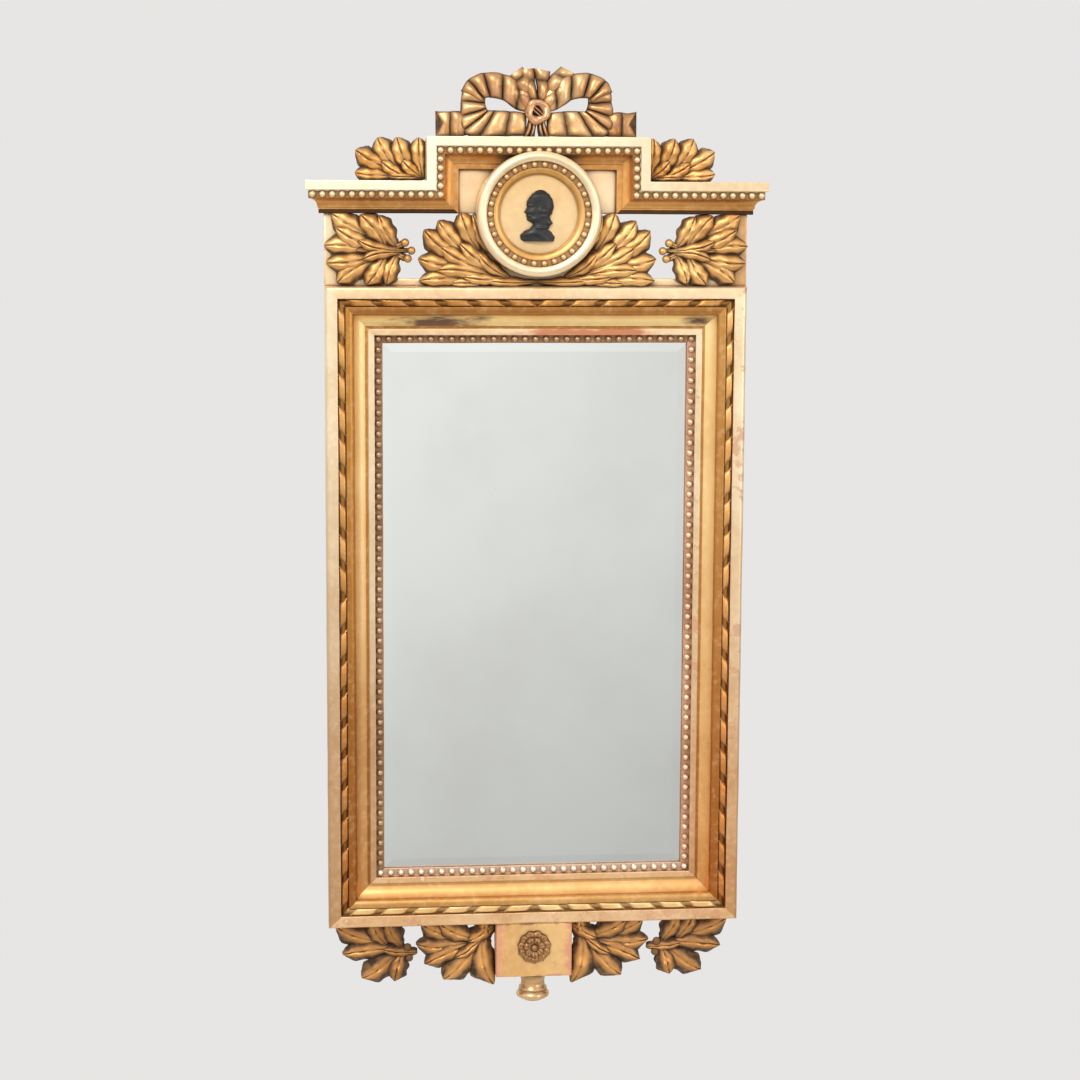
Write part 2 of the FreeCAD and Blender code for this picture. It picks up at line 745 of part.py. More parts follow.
bust = new_carving("portrait_bust", ruled([bust_section(*level) for level in BUST_LEVEL_SHARES]))
stand(bust, 0, frieze_front + size("medallion_disc_thickness"), medallion_level)


# Carved leaf sprays: crowned leaves with a sunk midrib, fanned from a stem and flat at the back

LEAF_STATION_SHARES = (
    # along the leaf, half width, height of the crown
    (0.0, 0.4, 0.6), (0.38, 0.95, 1.0), (0.78, 0.86, 0.92), (1.0, 0.2, 0.5),
)
LEAF_SECTION_SHARES = (
    # across the half width, height within the crown
    (-1.0, 0.0), (-0.66, 0.96), (0.0, 0.72), (0.66, 0.96), (1.0, 0.0),
)
BERRY_LIFT_SHARE = 0.45


def leaf(base, tip, wide, rise, bend_share, stretch_share=1):
    """A leaf from base to tip, curving to one side by a share of its length, then stretched along x."""
    axis = tip - base
    side = Vector(-axis.y, axis.x, 0)
    unit = Vector(side).normalize()
    sections = []
    for along_share, width_share, crown_share in LEAF_STATION_SHARES:
        middle = base + axis * along_share + side * (4 * bend_share * along_share * (1 - along_share))
        section = [
            middle + unit * (wide / 2 * width_share * across_share) + UP * (rise * crown_share * height_share)
            for across_share, height_share in LEAF_SECTION_SHARES
        ]
        sections.append([Vector(point.x * stretch_share, point.y, point.z) for point in section])
    return ruled(sections)


def spray(wide, tall, length_share, rise, leaf_shares, berry_shares=()):
    """Leaves and berries of one spray, fused into one carving.

    Leaves are drawn with the spray's own length for its height, then stretched to its width, so that they
    keep together when either changes.
    """
    drawn = tall * length_share
    carved = []
    for base_x, base_z, tip_x, tip_z, width_share, rise_share, bend_share in leaf_shares:
        carved.append(leaf(Vector(drawn * base_x, tall * base_z, 0), Vector(drawn * tip_x, tall * tip_z, 0),
                           tall * width_share, rise * rise_share, bend_share, wide / drawn))
    for x, z in berry_shares:
        berry = pearl(size("berry_radius"), rise * BERRY_LIFT_SHARE)
        carved.append(berry.translated(Vector(wide * x, tall * z, 0)))
    return carved[0].multiFuse(carved[1:])


FRIEZE_LENGTH_SHARE = 1.24
WREATH_LENGTH_SHARE = 1.66
CORNICE_LENGTH_SHARE = 1.6
LOWER_LENGTH_SHARE = 1.23

FRIEZE_LEAF_SHARES = (
    # base x, base z, tip x, tip z, width, relief, bend
    (1.00, 0.49, 0.30, 0.50, 0.09, 0.72, 0.00),
    (0.76, 0.52, 0.91, 0.60, 0.08, 0.50, 0.00),
    (0.76, 0.46, 0.94, 0.37, 0.08, 0.50, 0.00),
    (0.80, 0.55, 0.61, 0.97, 0.22, 0.78, 0.06),
    (0.68, 0.54, 0.40, 0.98, 0.25, 0.90, -0.06),
    (0.48, 0.73, 0.09, 1.00, 0.25, 0.76, 0.05),
    (0.56, 0.54, 0.13, 0.80, 0.23, 0.94, 0.06),
    (0.50, 0.49, 0.00, 0.56, 0.22, 0.80, -0.05),
    (0.54, 0.41, 0.02, 0.32, 0.22, 0.94, 0.05),
    (0.56, 0.37, 0.14, 0.05, 0.25, 0.78, -0.06),
    (0.67, 0.42, 0.47, 0.02, 0.24, 0.92, 0.05),
    (0.81, 0.43, 0.69, 0.02, 0.20, 0.76, -0.05),
    (0.84, 0.50, 0.36, 0.64, 0.16, 1.00, 0.08),
    (0.84, 0.46, 0.41, 0.36, 0.16, 1.00, -0.08),
)
FRIEZE_BERRY_SHARES = ((0.90, 0.60), (0.97, 0.49), (0.93, 0.38))

WREATH_LEAF_SHARES = (
    (1.00, 0.06, 0.52, 0.09, 0.12, 0.70, 0.03),
    (0.46, 0.10, 0.01, 0.08, 0.22, 0.80, -0.03),
    (0.42, 0.26, 0.00, 0.38, 0.25, 0.84, 0.05),
    (0.36, 0.36, 0.05, 0.77, 0.24, 0.92, 0.06),
    (0.42, 0.44, 0.17, 0.90, 0.25, 0.80, 0.06),
    (0.50, 0.50, 0.35, 1.03, 0.23, 0.90, 0.05),
    (0.58, 0.22, 0.17, 0.56, 0.23, 1.00, 0.06),
    (0.60, 0.14, 0.14, 0.22, 0.22, 0.98, -0.05),
    (0.64, 0.22, 0.34, 0.60, 0.21, 0.96, 0.05),
    (0.72, 0.10, 0.36, 0.14, 0.16, 0.88, 0.04),
    (0.76, 0.12, 0.48, 0.48, 0.16, 0.86, 0.08),
    (0.60, 0.06, 0.26, 0.04, 0.16, 0.74, 0.00),
)

CORNICE_LEAF_SHARES = (
    (1.00, 0.08, 0.44, 0.10, 0.22, 0.70, 0.00),
    (0.56, 0.14, 0.00, 0.17, 0.36, 0.82, 0.05),
    (0.50, 0.26, 0.01, 0.69, 0.38, 0.98, 0.05),
    (0.60, 0.22, 0.32, 0.97, 0.40, 0.84, 0.05),
    (0.80, 0.18, 0.59, 0.98, 0.40, 0.98, 0.04),
    (0.96, 0.08, 0.90, 0.98, 0.38, 0.86, 0.03),
    (0.76, 0.08, 0.36, 0.44, 0.28, 1.00, 0.06),
    (0.94, 0.08, 0.66, 0.48, 0.28, 1.00, 0.05),
)

LOWER_OUTER_LEAF_SHARES = (
    (1.02, 0.54, 0.56, 0.60, 0.16, 0.80, 0.04),
    (0.58, 0.70, 0.02, 0.96, 0.28, 0.86, 0.05),
    (0.62, 0.66, 0.44, 1.03, 0.27, 0.98, 0.04),
    (0.80, 0.62, 0.62, 1.02, 0.26, 0.84, 0.04),
    (0.72, 0.58, 0.10, 0.54, 0.24, 0.96, -0.05),
    (0.76, 0.54, 0.33, 0.17, 0.28, 0.84, 0.05),
    (0.82, 0.54, 0.72, 0.12, 0.25, 0.94, -0.04),
)

LOWER_OUTER_BERRY_SHARES = ((0.88, 0.62), (0.90, 0.46))

LOWER_INNER_LEAF_SHARES = (
    (1.02, 0.90, 0.64, 0.68, 0.22, 0.78, 0.00),
    (0.88, 1.02, 0.84, 0.72, 0.20, 0.66, 0.00),
    (0.52, 0.74, 0.05, 0.97, 0.28, 0.80, 0.05),
    (0.72, 0.72, 0.27, 0.98, 0.29, 0.96, 0.05),
    (0.64, 0.64, -0.02, 0.66, 0.26, 0.88, 0.05),
    (0.68, 0.62, 0.09, 0.36, 0.26, 0.98, -0.05),
    (0.76, 0.66, 0.33, 0.12, 0.30, 0.86, 0.05),
    (0.86, 0.74, 0.98, 0.03, 0.34, 0.94, -0.12),
    (0.84, 0.74, 0.46, 0.46, 0.17, 1.00, 0.06),
)


def clipped(shape, low_x, low_z, high_x, high_z, rise):
    """Trim a carving to the straight edges that it is glued against."""
    keep = Part.makeBox(high_x - low_x, high_z - low_z, rise + size("overrun"), Vector(low_x, low_z, 0))
    return shape.common(keep)


def place_pair(label, shape, x, depth, z):
    """Glue on a carving for the left side and its mirror image for the right side."""
    carved = shape.removeSplitter()
    stand(new_carving(f"{label}_left", carved), x, depth, z)
    stand(new_carving(f"{label}_right", carved.mirror(ORIGIN, RIGHT)), -x, depth, z)


relief = size("leaf_relief")
room = size("overrun")

frieze_spray_width = frame_half_width - size("wreath_spray_width") - size("frieze_spray_gap")
frieze_spray = spray(frieze_spray_width, size("frieze_height"), FRIEZE_LENGTH_SHARE, relief,
                     FRIEZE_LEAF_SHARES, FRIEZE_BERRY_SHARES)
frieze_spray = clipped(frieze_spray, 0, 0, frieze_spray_width + room, size("frieze_height"), relief)
place_pair("frieze_spray", frieze_spray, -frame_half_width, frieze_front, crest_foot)

wreath_spray = spray(size("wreath_spray_width"), size("frieze_height"), WREATH_LENGTH_SHARE, relief,
                     WREATH_LEAF_SHARES)
wreath_spray = clipped(wreath_spray, -room, 0, size("wreath_spray_width"), size("frieze_height"), relief)
wreath_seat = Part.makeCylinder(size("medallion_radius"), relief + room,
                                Vector(size("wreath_spray_width"), medallion_level - crest_foot, 0))
place_pair("wreath_spray", wreath_spray.cut(wreath_seat), -size("wreath_spray_width"), frieze_front,
           crest_foot)

cornice_spray = spray(size("cornice_spray_width"), size("cornice_spray_height"), CORNICE_LENGTH_SHARE, relief,
                      CORNICE_LEAF_SHARES)
cornice_spray = clipped(cornice_spray, -room, 0, size("cornice_spray_width"),
                        size("cornice_spray_height") + room, relief)
place_pair("cornice_spray", cornice_spray, -raised_half - size("cornice_spray_width"),
           board + size("cornice_spray_setback"), cornice_top_level)

lower_depth = board + size("lower_spray_setback")
tablet_half = size("lower_tablet_width") / 2
lower_outer_start = frame_half_width - size("lower_spray_inset")
lower_outer_width = lower_outer_start - size("lower_inner_spray_width") - tablet_half
lower_outer = spray(lower_outer_width, size("lower_spray_height"), LOWER_LENGTH_SHARE, relief,
                    LOWER_OUTER_LEAF_SHARES, LOWER_OUTER_BERRY_SHARES)
lower_outer = clipped(lower_outer, -room, -room, lower_outer_width, size("lower_spray_height"), relief)
place_pair("lower_outer_spray", lower_outer, -lower_outer_start, lower_depth,
           -frame_half_height - size("lower_spray_height"))

lower_inner = spray(size("lower_inner_spray_width"), size("lower_spray_height"), LOWER_LENGTH_SHARE, relief,
                    LOWER_INNER_LEAF_SHARES)
lower_inner = clipped(lower_inner, 0, -room, size("lower_inner_spray_width"),
                      size("lower_spray_height"), relief)
place_pair("lower_inner_spray", lower_inner, -tablet_half - size("lower_inner_spray_width"),
           lower_depth, -frame_half_height - size("lower_spray_height"))


# Ribbon bow: two loops, two swallow-tailed ends, a crumpled tuft and the knot, standing on the raised cornice

BOW_LOOP_SHARES = (
    # inner edge x, z, outer edge x, z; x from the knot as a share of half the bow, z as a share of its height
    (0.13, 0.40, 0.14, 0.70), (0.28, 0.51, 0.28, 0.85), (0.42, 0.58, 0.48, 0.91), (0.52, 0.57, 0.66, 0.81),
    (0.53, 0.50, 0.75, 0.60), (0.52, 0.40, 0.75, 0.26), (0.48, 0.36, 0.70, 0.0), (0.32, 0.35, 0.34, 0.0),
    (0.13, 0.32, 0.13, 0.0),
)
BOW_LOOP_RISE_SHARES = (0.62, 0.88, 0.95, 0.92, 0.80, 0.80, 0.84, 0.78, 0.66)
BOW_BAND_SHARES = ((0.0, 0.0), (0.0, 0.75), (0.3, 1.0), (0.7, 0.86), (1.0, 0.7), (1.0, 0.0))
BOW_TAIL_SHARES = ((0.66, 0.0), (1.0, 0.0), (0.93, 0.18), (1.0, 0.36), (0.66, 0.36))
BOW_TAIL_RISE_SHARE = 0.6
BOW_KNOT_SHARES = ((-0.13, 0.22), (-0.11, 0.40), (0.0, 0.47), (0.11, 0.40), (0.13, 0.22), (0.09, 0.0),
                   (-0.09, 0.0))
BOW_KNOT_LEVEL_SHARES = ((1.0, 0.0), (1.0, 0.7), (0.55, 1.12))
BOW_KNOT_MIDDLE_SHARE = 0.26
BOW_TUFT_SHARES = (
    # base x, base z, tip x, tip z, width, relief, bend
    (-0.04, 0.44, -0.34, 0.84, 0.24, 0.80, -0.06),
    (-0.03, 0.45, -0.17, 0.97, 0.26, 1.00, -0.04),
    (0.00, 0.46, 0.03, 0.98, 0.26, 0.90, 0.03),
    (0.03, 0.45, 0.22, 1.00, 0.26, 1.00, 0.04),
    (0.04, 0.44, 0.38, 0.90, 0.24, 0.82, 0.06),
)

bow_half = raised_half - size("bow_inset")
bow_tall = size("bow_height")
bow_rise = size("bow_relief")


def bow_loop():
    sections = []
    for (inner_x, inner_z, outer_x, outer_z), rise_share in zip(BOW_LOOP_SHARES, BOW_LOOP_RISE_SHARES):
        inner = Vector(bow_half * inner_x, bow_tall * inner_z, 0)
        outer = Vector(bow_half * outer_x, bow_tall * outer_z, 0)
        sections.append([
            inner + (outer - inner) * across_share + UP * (bow_rise * rise_share * height_share)
            for across_share, height_share in BOW_BAND_SHARES
        ])
    return ruled(sections)


def bow_knot():
    sections = []
    for spread_share, rise_share in BOW_KNOT_LEVEL_SHARES:
        sections.append([
            Vector(bow_half * (x * spread_share),
                   bow_tall * (BOW_KNOT_MIDDLE_SHARE + (z - BOW_KNOT_MIDDLE_SHARE) * spread_share),
                   bow_rise * rise_share)
            for x, z in BOW_KNOT_SHARES
        ])
    return ruled(sections)


def bow_tuft():
    folds = [
        leaf(Vector(bow_half * base_x, bow_tall * base_z, 0), Vector(bow_half * tip_x, bow_tall * tip_z, 0),
             bow_tall * width_share, bow_rise * rise_share, bend_share)
        for base_x, base_z, tip_x, tip_z, width_share, rise_share, bend_share in BOW_TUFT_SHARES
    ]
    return folds[0].multiFuse(folds[1:])


bow_depth = board + size("bow_setback")
knot = bow_knot()
loop = bow_loop().cut(knot)
mirrored_loop = loop.mirror(ORIGIN, RIGHT)
tail_outline = [Vector(bow_half * x, bow_tall * z, 0) for x, z in BOW_TAIL_SHARES]
tail = panel(*tail_outline).extrude(UP * (bow_rise * BOW_TAIL_RISE_SHARE))
tail = tail.cut(loop)
tuft = bow_tuft().cut(knot).cut(loop).cut(mirrored_loop).removeSplitter()
for label, shape in (("bow_loop_right", loop), ("bow_loop_left", mirrored_loop), ("bow_tail_right", tail),
                     ("bow_tail_left", tail.mirror(ORIGIN, RIGHT)), ("bow_knot", knot), ("bow_tuft", tuft)):
    stand(new_carving(label, shape), 0, bow_depth, raised_top_level)


# Below the frame: a tablet with a rosette, and a turned drop under it

tablet_foot = -frame_half_height - size("lower_tablet_height")
lower_tablet = new_body("lower_tablet")
lower_block = pad(lower_tablet, outline(lower_tablet, "lower_tablet_outline", "XY_Plane",
                                        rectangle(size("lower_tablet_width"), size("lower_tablet_height"))),
                  size("lower_tablet_depth"))
doc.recompute()
lower_edge = lower_tablet.newObject("PartDesign::Chamfer", "lower_tablet_edge")
lower_edge.Base = (lower_block, edges_at_height(lower_block.Shape, size("lower_tablet_depth")))
bind(lower_edge, Size=size("lower_tablet_chamfer"))
stand(lower_tablet, -tablet_half, board, tablet_foot)

ROSETTE_PETALS = 8
ROSETTE_DISH_SHARES = ((0.62, 0.0), (0.62, 0.25), (0.34, 0.45), (0.34, 0.7), (0.2, 1.0))
PETAL_START_SHARE = 0.3
PETAL_WIDTH_SHARE = 0.2
PETAL_RELIEF_SHARE = 0.62
PETAL_RISE_SHARE = 0.18
radius = size("rosette_radius")
rosette = new_body("rosette")
dish = [(0, 0)] + [(radius * r, size("rosette_relief") * t if t else 0) for r, t in ROSETTE_DISH_SHARES]
dish.append((0, size("rosette_relief")))
turned(rosette, outline(rosette, "rosette_profile", "XZ_Plane", dish))
petal = pad(rosette, outline(rosette, "petal", "XY_Plane", [
    (radius * PETAL_START_SHARE, 0), (radius * (PETAL_START_SHARE + 1) / 2, -(radius * PETAL_WIDTH_SHARE)),
    (radius, 0), (radius * (PETAL_START_SHARE + 1) / 2, radius * PETAL_WIDTH_SHARE),
], {0: PETAL_RISE_SHARE, 1: PETAL_RISE_SHARE, 2: PETAL_RISE_SHARE, 3: PETAL_RISE_SHARE}),
    size("rosette_relief") * PETAL_RELIEF_SHARE)
petals = rosette.newObject("PartDesign::PolarPattern", "petals")
petals.Originals = [petal]
petals.Axis = (next(axis for axis in rosette.Origin.OriginFeatures if axis.Role == "Z_Axis"), [""])
petals.Angle = 360
petals.Occurrences = ROSETTE_PETALS
rosette.Tip = petals
stand(rosette, 0, board + size("lower_tablet_depth"), -frame_half_height - size("rosette_drop"))

FINIAL_SHARES = (
    # radius and height of the turned drop, from its foot upwards
    (0.55, 0.0), (0.62, 0.12), (0.9, 0.3), (1.0, 0.42), (0.9, 0.54), (0.76, 0.58), (0.8, 0.8), (0.74, 1.0),
)
finial = new_body("drop_finial")
finial_outline = [(0, 0)]
for radius_share, height_share in FINIAL_SHARES:
    height = size("finial_height") * height_share if height_share else 0
    finial_outline.append((size("finial_radius") * radius_share, height))
finial_outline.append((0, size("finial_height")))
finial_rise_shares = {3: PETAL_RISE_SHARE, 4: PETAL_RISE_SHARE}
turned(finial, outline(finial, "finial_profile", "XZ_Plane", finial_outline, finial_rise_shares))
stand(finial, 0, board + size("lower_tablet_depth") / 2, tablet_foot - size("finial_height"),
      upward=BACK)


# Back: two battens that tie the crest to the top rail, and an iron plate with an eye for the hanging ring

batten_foot = board_height / 2
batten_height = raised_top_level - size("cornice_height") - batten_foot
battens = []
for side in (-1, 1):
    x = side * size("batten_spacing") / 2 - size("batten_width") / 2
    battens.append(Part.makeBox(size("batten_width"), batten_height, board, Vector(x, 0, 0)))
stand(new_carving("crest_battens", Part.makeCompound(battens)), 0, 0, batten_foot)

plate_level = crest_foot + size("plate_rise")
eye_reach = size("eye_radius") + size("eye_wall")
plate_half_width = size("plate_width") / 2
plate_half_height = size("plate_height") / 2
plate = new_body("hanger_plate")
pad(plate, outline(plate, "plate_outline", "XY_Plane", [
    (-plate_half_width, -plate_half_height), (plate_half_width, -plate_half_height),
    (plate_half_width, plate_half_height), (-plate_half_width, plate_half_height),
], {0: PETAL_RISE_SHARE, 2: PETAL_RISE_SHARE}), size("plate_thickness"))
eye_level = size("plate_thickness") + size("eye_radius")
eye_place = -size("eye_drop")
eye_below, eye_above = eye_place - eye_reach, eye_place + eye_reach
lug = pad(plate, outline(plate, "eye_lug", "YZ_Plane", [
    (eye_below, size("plate_thickness") / 2), (eye_above, size("plate_thickness") / 2),
    (eye_above, eye_level), (eye_place, eye_level + eye_reach), (eye_below, eye_level),
], {2: QUARTER_SHARE, 3: QUARTER_SHARE}), size("eye_thickness"))
lug.SideType = "Symmetric"
cut_through(plate, round_outline(plate, "eye", "YZ_Plane", eye_place, eye_level, size("eye_radius")))
screw_places = [size("screw_rise") + size("screw_spacing") * side / 2 for side in (-1, 1)]
for place, end in zip(screw_places, ("lower", "upper")):
    cut_through(plate, round_outline(plate, f"{end}_screw_hole", "XY_Plane", 0, place, size("screw_radius")))
stand(plate, 0, board, plate_level, across=-RIGHT)

screws = []
for place in screw_places:
    foot = Vector(0, place, 0)
    shank = Part.makeCylinder(size("screw_radius"), size("screw_length"), foot, -UP)
    head = Part.makeCone(size("screw_head_radius"), size("screw_radius"), size("screw_radius") / 2,
                         foot + UP * size("plate_thickness"))
    neck = Part.makeCylinder(size("screw_radius"), size("plate_thickness"), foot)
    screws.append(shank.fuse(neck).fuse(head))
stand(new_carving("hanger_screws", Part.makeCompound(screws)), 0, board, plate_level, across=-RIGHT)

hanging_ring = doc.addObject("Part::Torus", "hanging_ring")
bind(hanging_ring, Radius1=size("ring_radius"), Radius2=size("ring_wire_radius"))
nodes.append(hanging_ring)
stand(hanging_ring, 0, board - eye_level, plate_level - size("eye_drop") - size("ring_radius"))


# Check every object, then write one file for each piece

doc.recompute()
for thing in doc.Objects:
    if {"Invalid", "Error"} & set(thing.State):
        raise RuntimeError(f"{thing.Name} failed: {thing.State}")
for node in nodes:
    if node.Shape.isNull() or not node.Shape.isValid() or not node.Shape.Solids:
        raise RuntimeError(f"{node.Label} has no valid solid")

os.makedirs("parts", exist_ok=True)
for node in nodes:
    node.Shape.exportStep(f"parts/{node.Label}.step")
print(f"{len(nodes)} parts written")
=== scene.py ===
import math

import bmesh
import bpy
from mathutils import Matrix, Vector, noise


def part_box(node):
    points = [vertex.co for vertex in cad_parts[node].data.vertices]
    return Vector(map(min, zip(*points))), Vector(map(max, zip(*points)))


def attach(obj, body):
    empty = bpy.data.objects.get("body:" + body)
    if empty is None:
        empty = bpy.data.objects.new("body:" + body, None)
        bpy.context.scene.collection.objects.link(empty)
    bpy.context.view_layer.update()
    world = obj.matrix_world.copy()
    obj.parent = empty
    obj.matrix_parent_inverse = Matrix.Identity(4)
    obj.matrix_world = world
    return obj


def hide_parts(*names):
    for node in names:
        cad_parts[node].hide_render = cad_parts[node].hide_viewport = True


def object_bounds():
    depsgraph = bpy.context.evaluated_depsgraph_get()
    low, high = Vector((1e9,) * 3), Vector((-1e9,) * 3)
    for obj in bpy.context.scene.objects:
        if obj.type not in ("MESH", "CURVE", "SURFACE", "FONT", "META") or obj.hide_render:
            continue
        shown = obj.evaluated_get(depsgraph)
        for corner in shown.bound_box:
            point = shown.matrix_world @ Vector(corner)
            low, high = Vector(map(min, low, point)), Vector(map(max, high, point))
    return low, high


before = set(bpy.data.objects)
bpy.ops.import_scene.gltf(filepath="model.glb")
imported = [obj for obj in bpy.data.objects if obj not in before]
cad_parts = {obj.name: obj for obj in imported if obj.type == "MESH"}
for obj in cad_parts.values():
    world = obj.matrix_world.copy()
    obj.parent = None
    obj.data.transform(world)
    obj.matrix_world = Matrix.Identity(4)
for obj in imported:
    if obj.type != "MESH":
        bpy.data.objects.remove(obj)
cad_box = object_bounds()


# Camera and studio: the photograph's angle, a little above and left of the mirror's middle, on a long lens.
# The mirror hangs, so the pale floor lies well below it. The light is soft and comes from above and in front.

CAMERA_PLACE = Vector((-0.245, -2.508, 0.4285))
CAMERA_YAW = math.radians(-5.75)
CAMERA_PITCH = math.radians(-8.17)
CAMERA_ROLL = math.radians(-0.29)
CAMERA_LENS_MM = 83.33
FLOOR_DROP = 0.6
FLOOR_RADIUS = 1.2
FLOOR_SIDES = 96
FLOOR_COLOUR = (0.74, 0.735, 0.72, 1)
FLOOR_ROUGHNESS = 0.9
BACKDROP_COLOUR = (0.80, 0.79, 0.775, 1)
SKY_STOPS = (
    # share of the way from straight down to straight up, brightness
    (0.0, 0.46), (0.34, 0.60), (0.47, 0.90), (0.56, 1.0), (0.7, 1.05), (1.0, 0.95),
)
SKY_BLUE_SHARE = 0.985
SKY_TURN = (0.0, 0.2)
SKY_LEFT, SKY_RIGHT = 1.05, 0.90
LIGHTS = (
    # name, place, width, height, watts, tint
    ("key_light", Vector((-0.9, -2.0, 1.7)), 1.1, 0.9, 34, (1, 0.97, 0.92)),
    ("fill_light", Vector((1.7, -1.9, 0.5)), 1.0, 1.6, 12, (1, 0.98, 0.95)),
)

scene = bpy.context.scene
scene.view_settings.view_transform = "Standard"
camera = bpy.data.objects.new("camera", bpy.data.cameras.new("camera"))
camera.data.lens = CAMERA_LENS_MM
camera.matrix_world = (
    Matrix.Translation(CAMERA_PLACE)
    @ Matrix.Rotation(CAMERA_YAW, 4, "Z")
    @ Matrix.Rotation(CAMERA_PITCH, 4, "X")
    @ Matrix.Rotation(CAMERA_ROLL, 4, "Y")
    @ Matrix.Rotation(math.radians(90), 4, "X")
)
scene.collection.objects.link(camera)
scene.camera = camera

floor_mesh = bpy.data.meshes.new("floor")
floor_shape = bmesh.new()
bmesh.ops.create_circle(floor_shape, cap_ends=True, segments=FLOOR_SIDES, radius=FLOOR_RADIUS)
floor_shape.to_mesh(floor_mesh)
floor_shape.free()
floor = bpy.data.objects.new("floor", floor_mesh)
floor.location.z = cad_box[0].z - FLOOR_DROP
scene.collection.objects.link(floor)
floor_paint = bpy.data.materials.new("floor_paint")
floor_paint.use_nodes = True
floor_paint.node_tree.nodes["Principled BSDF"].inputs["Base Color"].default_value = FLOOR_COLOUR
floor_paint.node_tree.nodes["Principled BSDF"].inputs["Roughness"].default_value = FLOOR_ROUGHNESS
floor_mesh.materials.append(floor_paint)


class Nodes:
    """A node tree, with short calls for the few kinds of node used here."""

    def __init__(self, tree):
        self.tree = tree

    def feed(self, socket, value):
        if isinstance(value, bpy.types.NodeSocket):
            self.tree.links.new(value, socket)
        else:
            socket.default_value = value

    def add(self, kind, inputs=(), **settings):
        made = self.tree.nodes.new(kind)
        for key, value in settings.items():
            setattr(made, key, value)
        for key, value in dict(inputs).items():
            self.feed(made.inputs[key], value)
        return made

    def fade(self, value, low, high, start=0, end=1):
        return self.add("ShaderNodeMapRange", {"Value": value, "From Min": low, "From Max": high,
                                               "To Min": start, "To Max": end},
                        interpolation_type="SMOOTHSTEP").outputs[0]


world = bpy.data.worlds.new("studio")
world.use_nodes = True
scene.world = world
sky = Nodes(world.node_tree)
sky_way = sky.add("ShaderNodeSeparateXYZ", {0: sky.add("ShaderNodeTexCoord").outputs["Generated"]}).outputs
sky_up = sky.add("ShaderNodeMapRange", {"Value": sky_way["Z"], "From Min": -1}).outputs[0]
sky_ramp = sky.add("ShaderNodeValToRGB", {0: sky_up})
sky_ramp.color_ramp.interpolation = "EASE"
while len(sky_ramp.color_ramp.elements) < len(SKY_STOPS):
    sky_ramp.color_ramp.elements.new(1)
for stop, (share, brightness) in zip(sky_ramp.color_ramp.elements, SKY_STOPS):
    stop.position = share
    stop.color = (brightness, brightness, brightness * SKY_BLUE_SHARE, 1)
sky_light = sky.tree.nodes["Background"]
sky.feed(sky_light.inputs["Color"], sky_ramp.outputs[0])
sky.feed(sky_light.inputs["Strength"], sky.fade(sky_way["X"], *SKY_TURN, SKY_LEFT, SKY_RIGHT))
backdrop = sky.add("ShaderNodeBackground", {"Color": BACKDROP_COLOUR})
sky_seen = sky.add("ShaderNodeLightPath").outputs["Is Camera Ray"]
sky_pick = sky.add("ShaderNodeMixShader", {0: sky_seen, 1: sky_light.outputs[0], 2: backdrop.outputs[0]})
sky.feed(sky.tree.nodes["World Output"].inputs["Surface"], sky_pick.outputs[0])

for name, place, width, height, watts, tint in LIGHTS:
    light = bpy.data.objects.new(name, bpy.data.lights.new(name, "AREA"))
    light.data.shape = "RECTANGLE"
    light.data.size = width
    light.data.size_y = height
    light.data.energy = watts
    light.data.color = tint
    light.matrix_world = Matrix.Translation(place) @ (-place).to_track_quat("-Z", "Y").to_matrix().to_4x4()
    scene.collection.objects.link(light)


# Frame: four lengths of one carved softwood moulding, mitred and glued at the corners, with a rebate behind.
# Front and edges are water-gilded on red bole, worn most on the right and below; the back is bare pine.

ARRIS, ARRIS_DIRT_AND_SHADE = 0.004, 0.28
CHANNEL_START, CHANNEL_END, CHANNEL_FLOOR = 0.0125, 0.0205, 0.034
BEAD_END, BEAD_LEVEL = 0.024, 0.0385
COVE_START, COVE_START_LEVEL = 0.029, 0.033
COVE_END, COVE_END_LEVEL = 0.043, 0.0255
INNER_FILLET_LEVEL = 0.027
PEARL_BED_START, PEARL_BED_LEVEL = 0.049, 0.021
SIGHT_EDGE, SIGHT_LIP_LEVEL = 0.057, 0.018
REBATE_START = 0.048
COVE_FOOT = 0.0035
MOULDING_EASE = 0.0007
MOULDING_STEP = 0.006
QUARTER_RISE = (math.sqrt(2) - 1) / 2
COVE_RISE = -0.14
CURVE_STEPS = 8
UNEVEN_SIZE = 0.035
UNEVEN_REACH = 0.00022
UNEVEN_SEED = 11
WELD = 1e-6

frame_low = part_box("left_stile")[0]
frame_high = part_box("right_stile")[1]
half_width = frame_high.x
half_height = frame_high.z
frame_back = -frame_high.y
frame_front = -frame_low.y


class Shader(Nodes):
    """A material's nodes, placed by the object's own coordinates."""

    def __init__(self, name):
        self.material = bpy.data.materials.new(name)
        self.material.use_nodes = True
        super().__init__(self.material.node_tree)
        self.skin = self.tree.nodes["Principled BSDF"]
        self.place = self.add("ShaderNodeTexCoord").outputs["Object"]

    def set(self, **inputs):
        for key, value in inputs.items():
            self.feed(self.skin.inputs[key.replace("_", " ")], value)

    def cloud(self, scale, detail=4, stretch=(1, 1, 1), rough=0.55):
        spread = self.add("ShaderNodeMapping", {"Vector": self.place, "Scale": stretch})
        return self.add("ShaderNodeTexNoise", {"Vector": spread.outputs[0], "Scale": scale, "Detail": detail,
                                               "Roughness": rough}).outputs["Fac"]

    def sum(self, operation, first, second):
        return self.add("ShaderNodeMath", {0: first, 1: second}, operation=operation).outputs[0]

    def mix(self, share, first, second, way="MIX"):
        return self.add("ShaderNodeMix", {0: share, 6: first, 7: second}, data_type="RGBA",
                        blend_type=way).outputs[2]

    def bump(self, height, strength, distance):
        return self.add("ShaderNodeBump", {"Height": height, "Strength": strength,
                                           "Distance": distance}).outputs["Normal"]


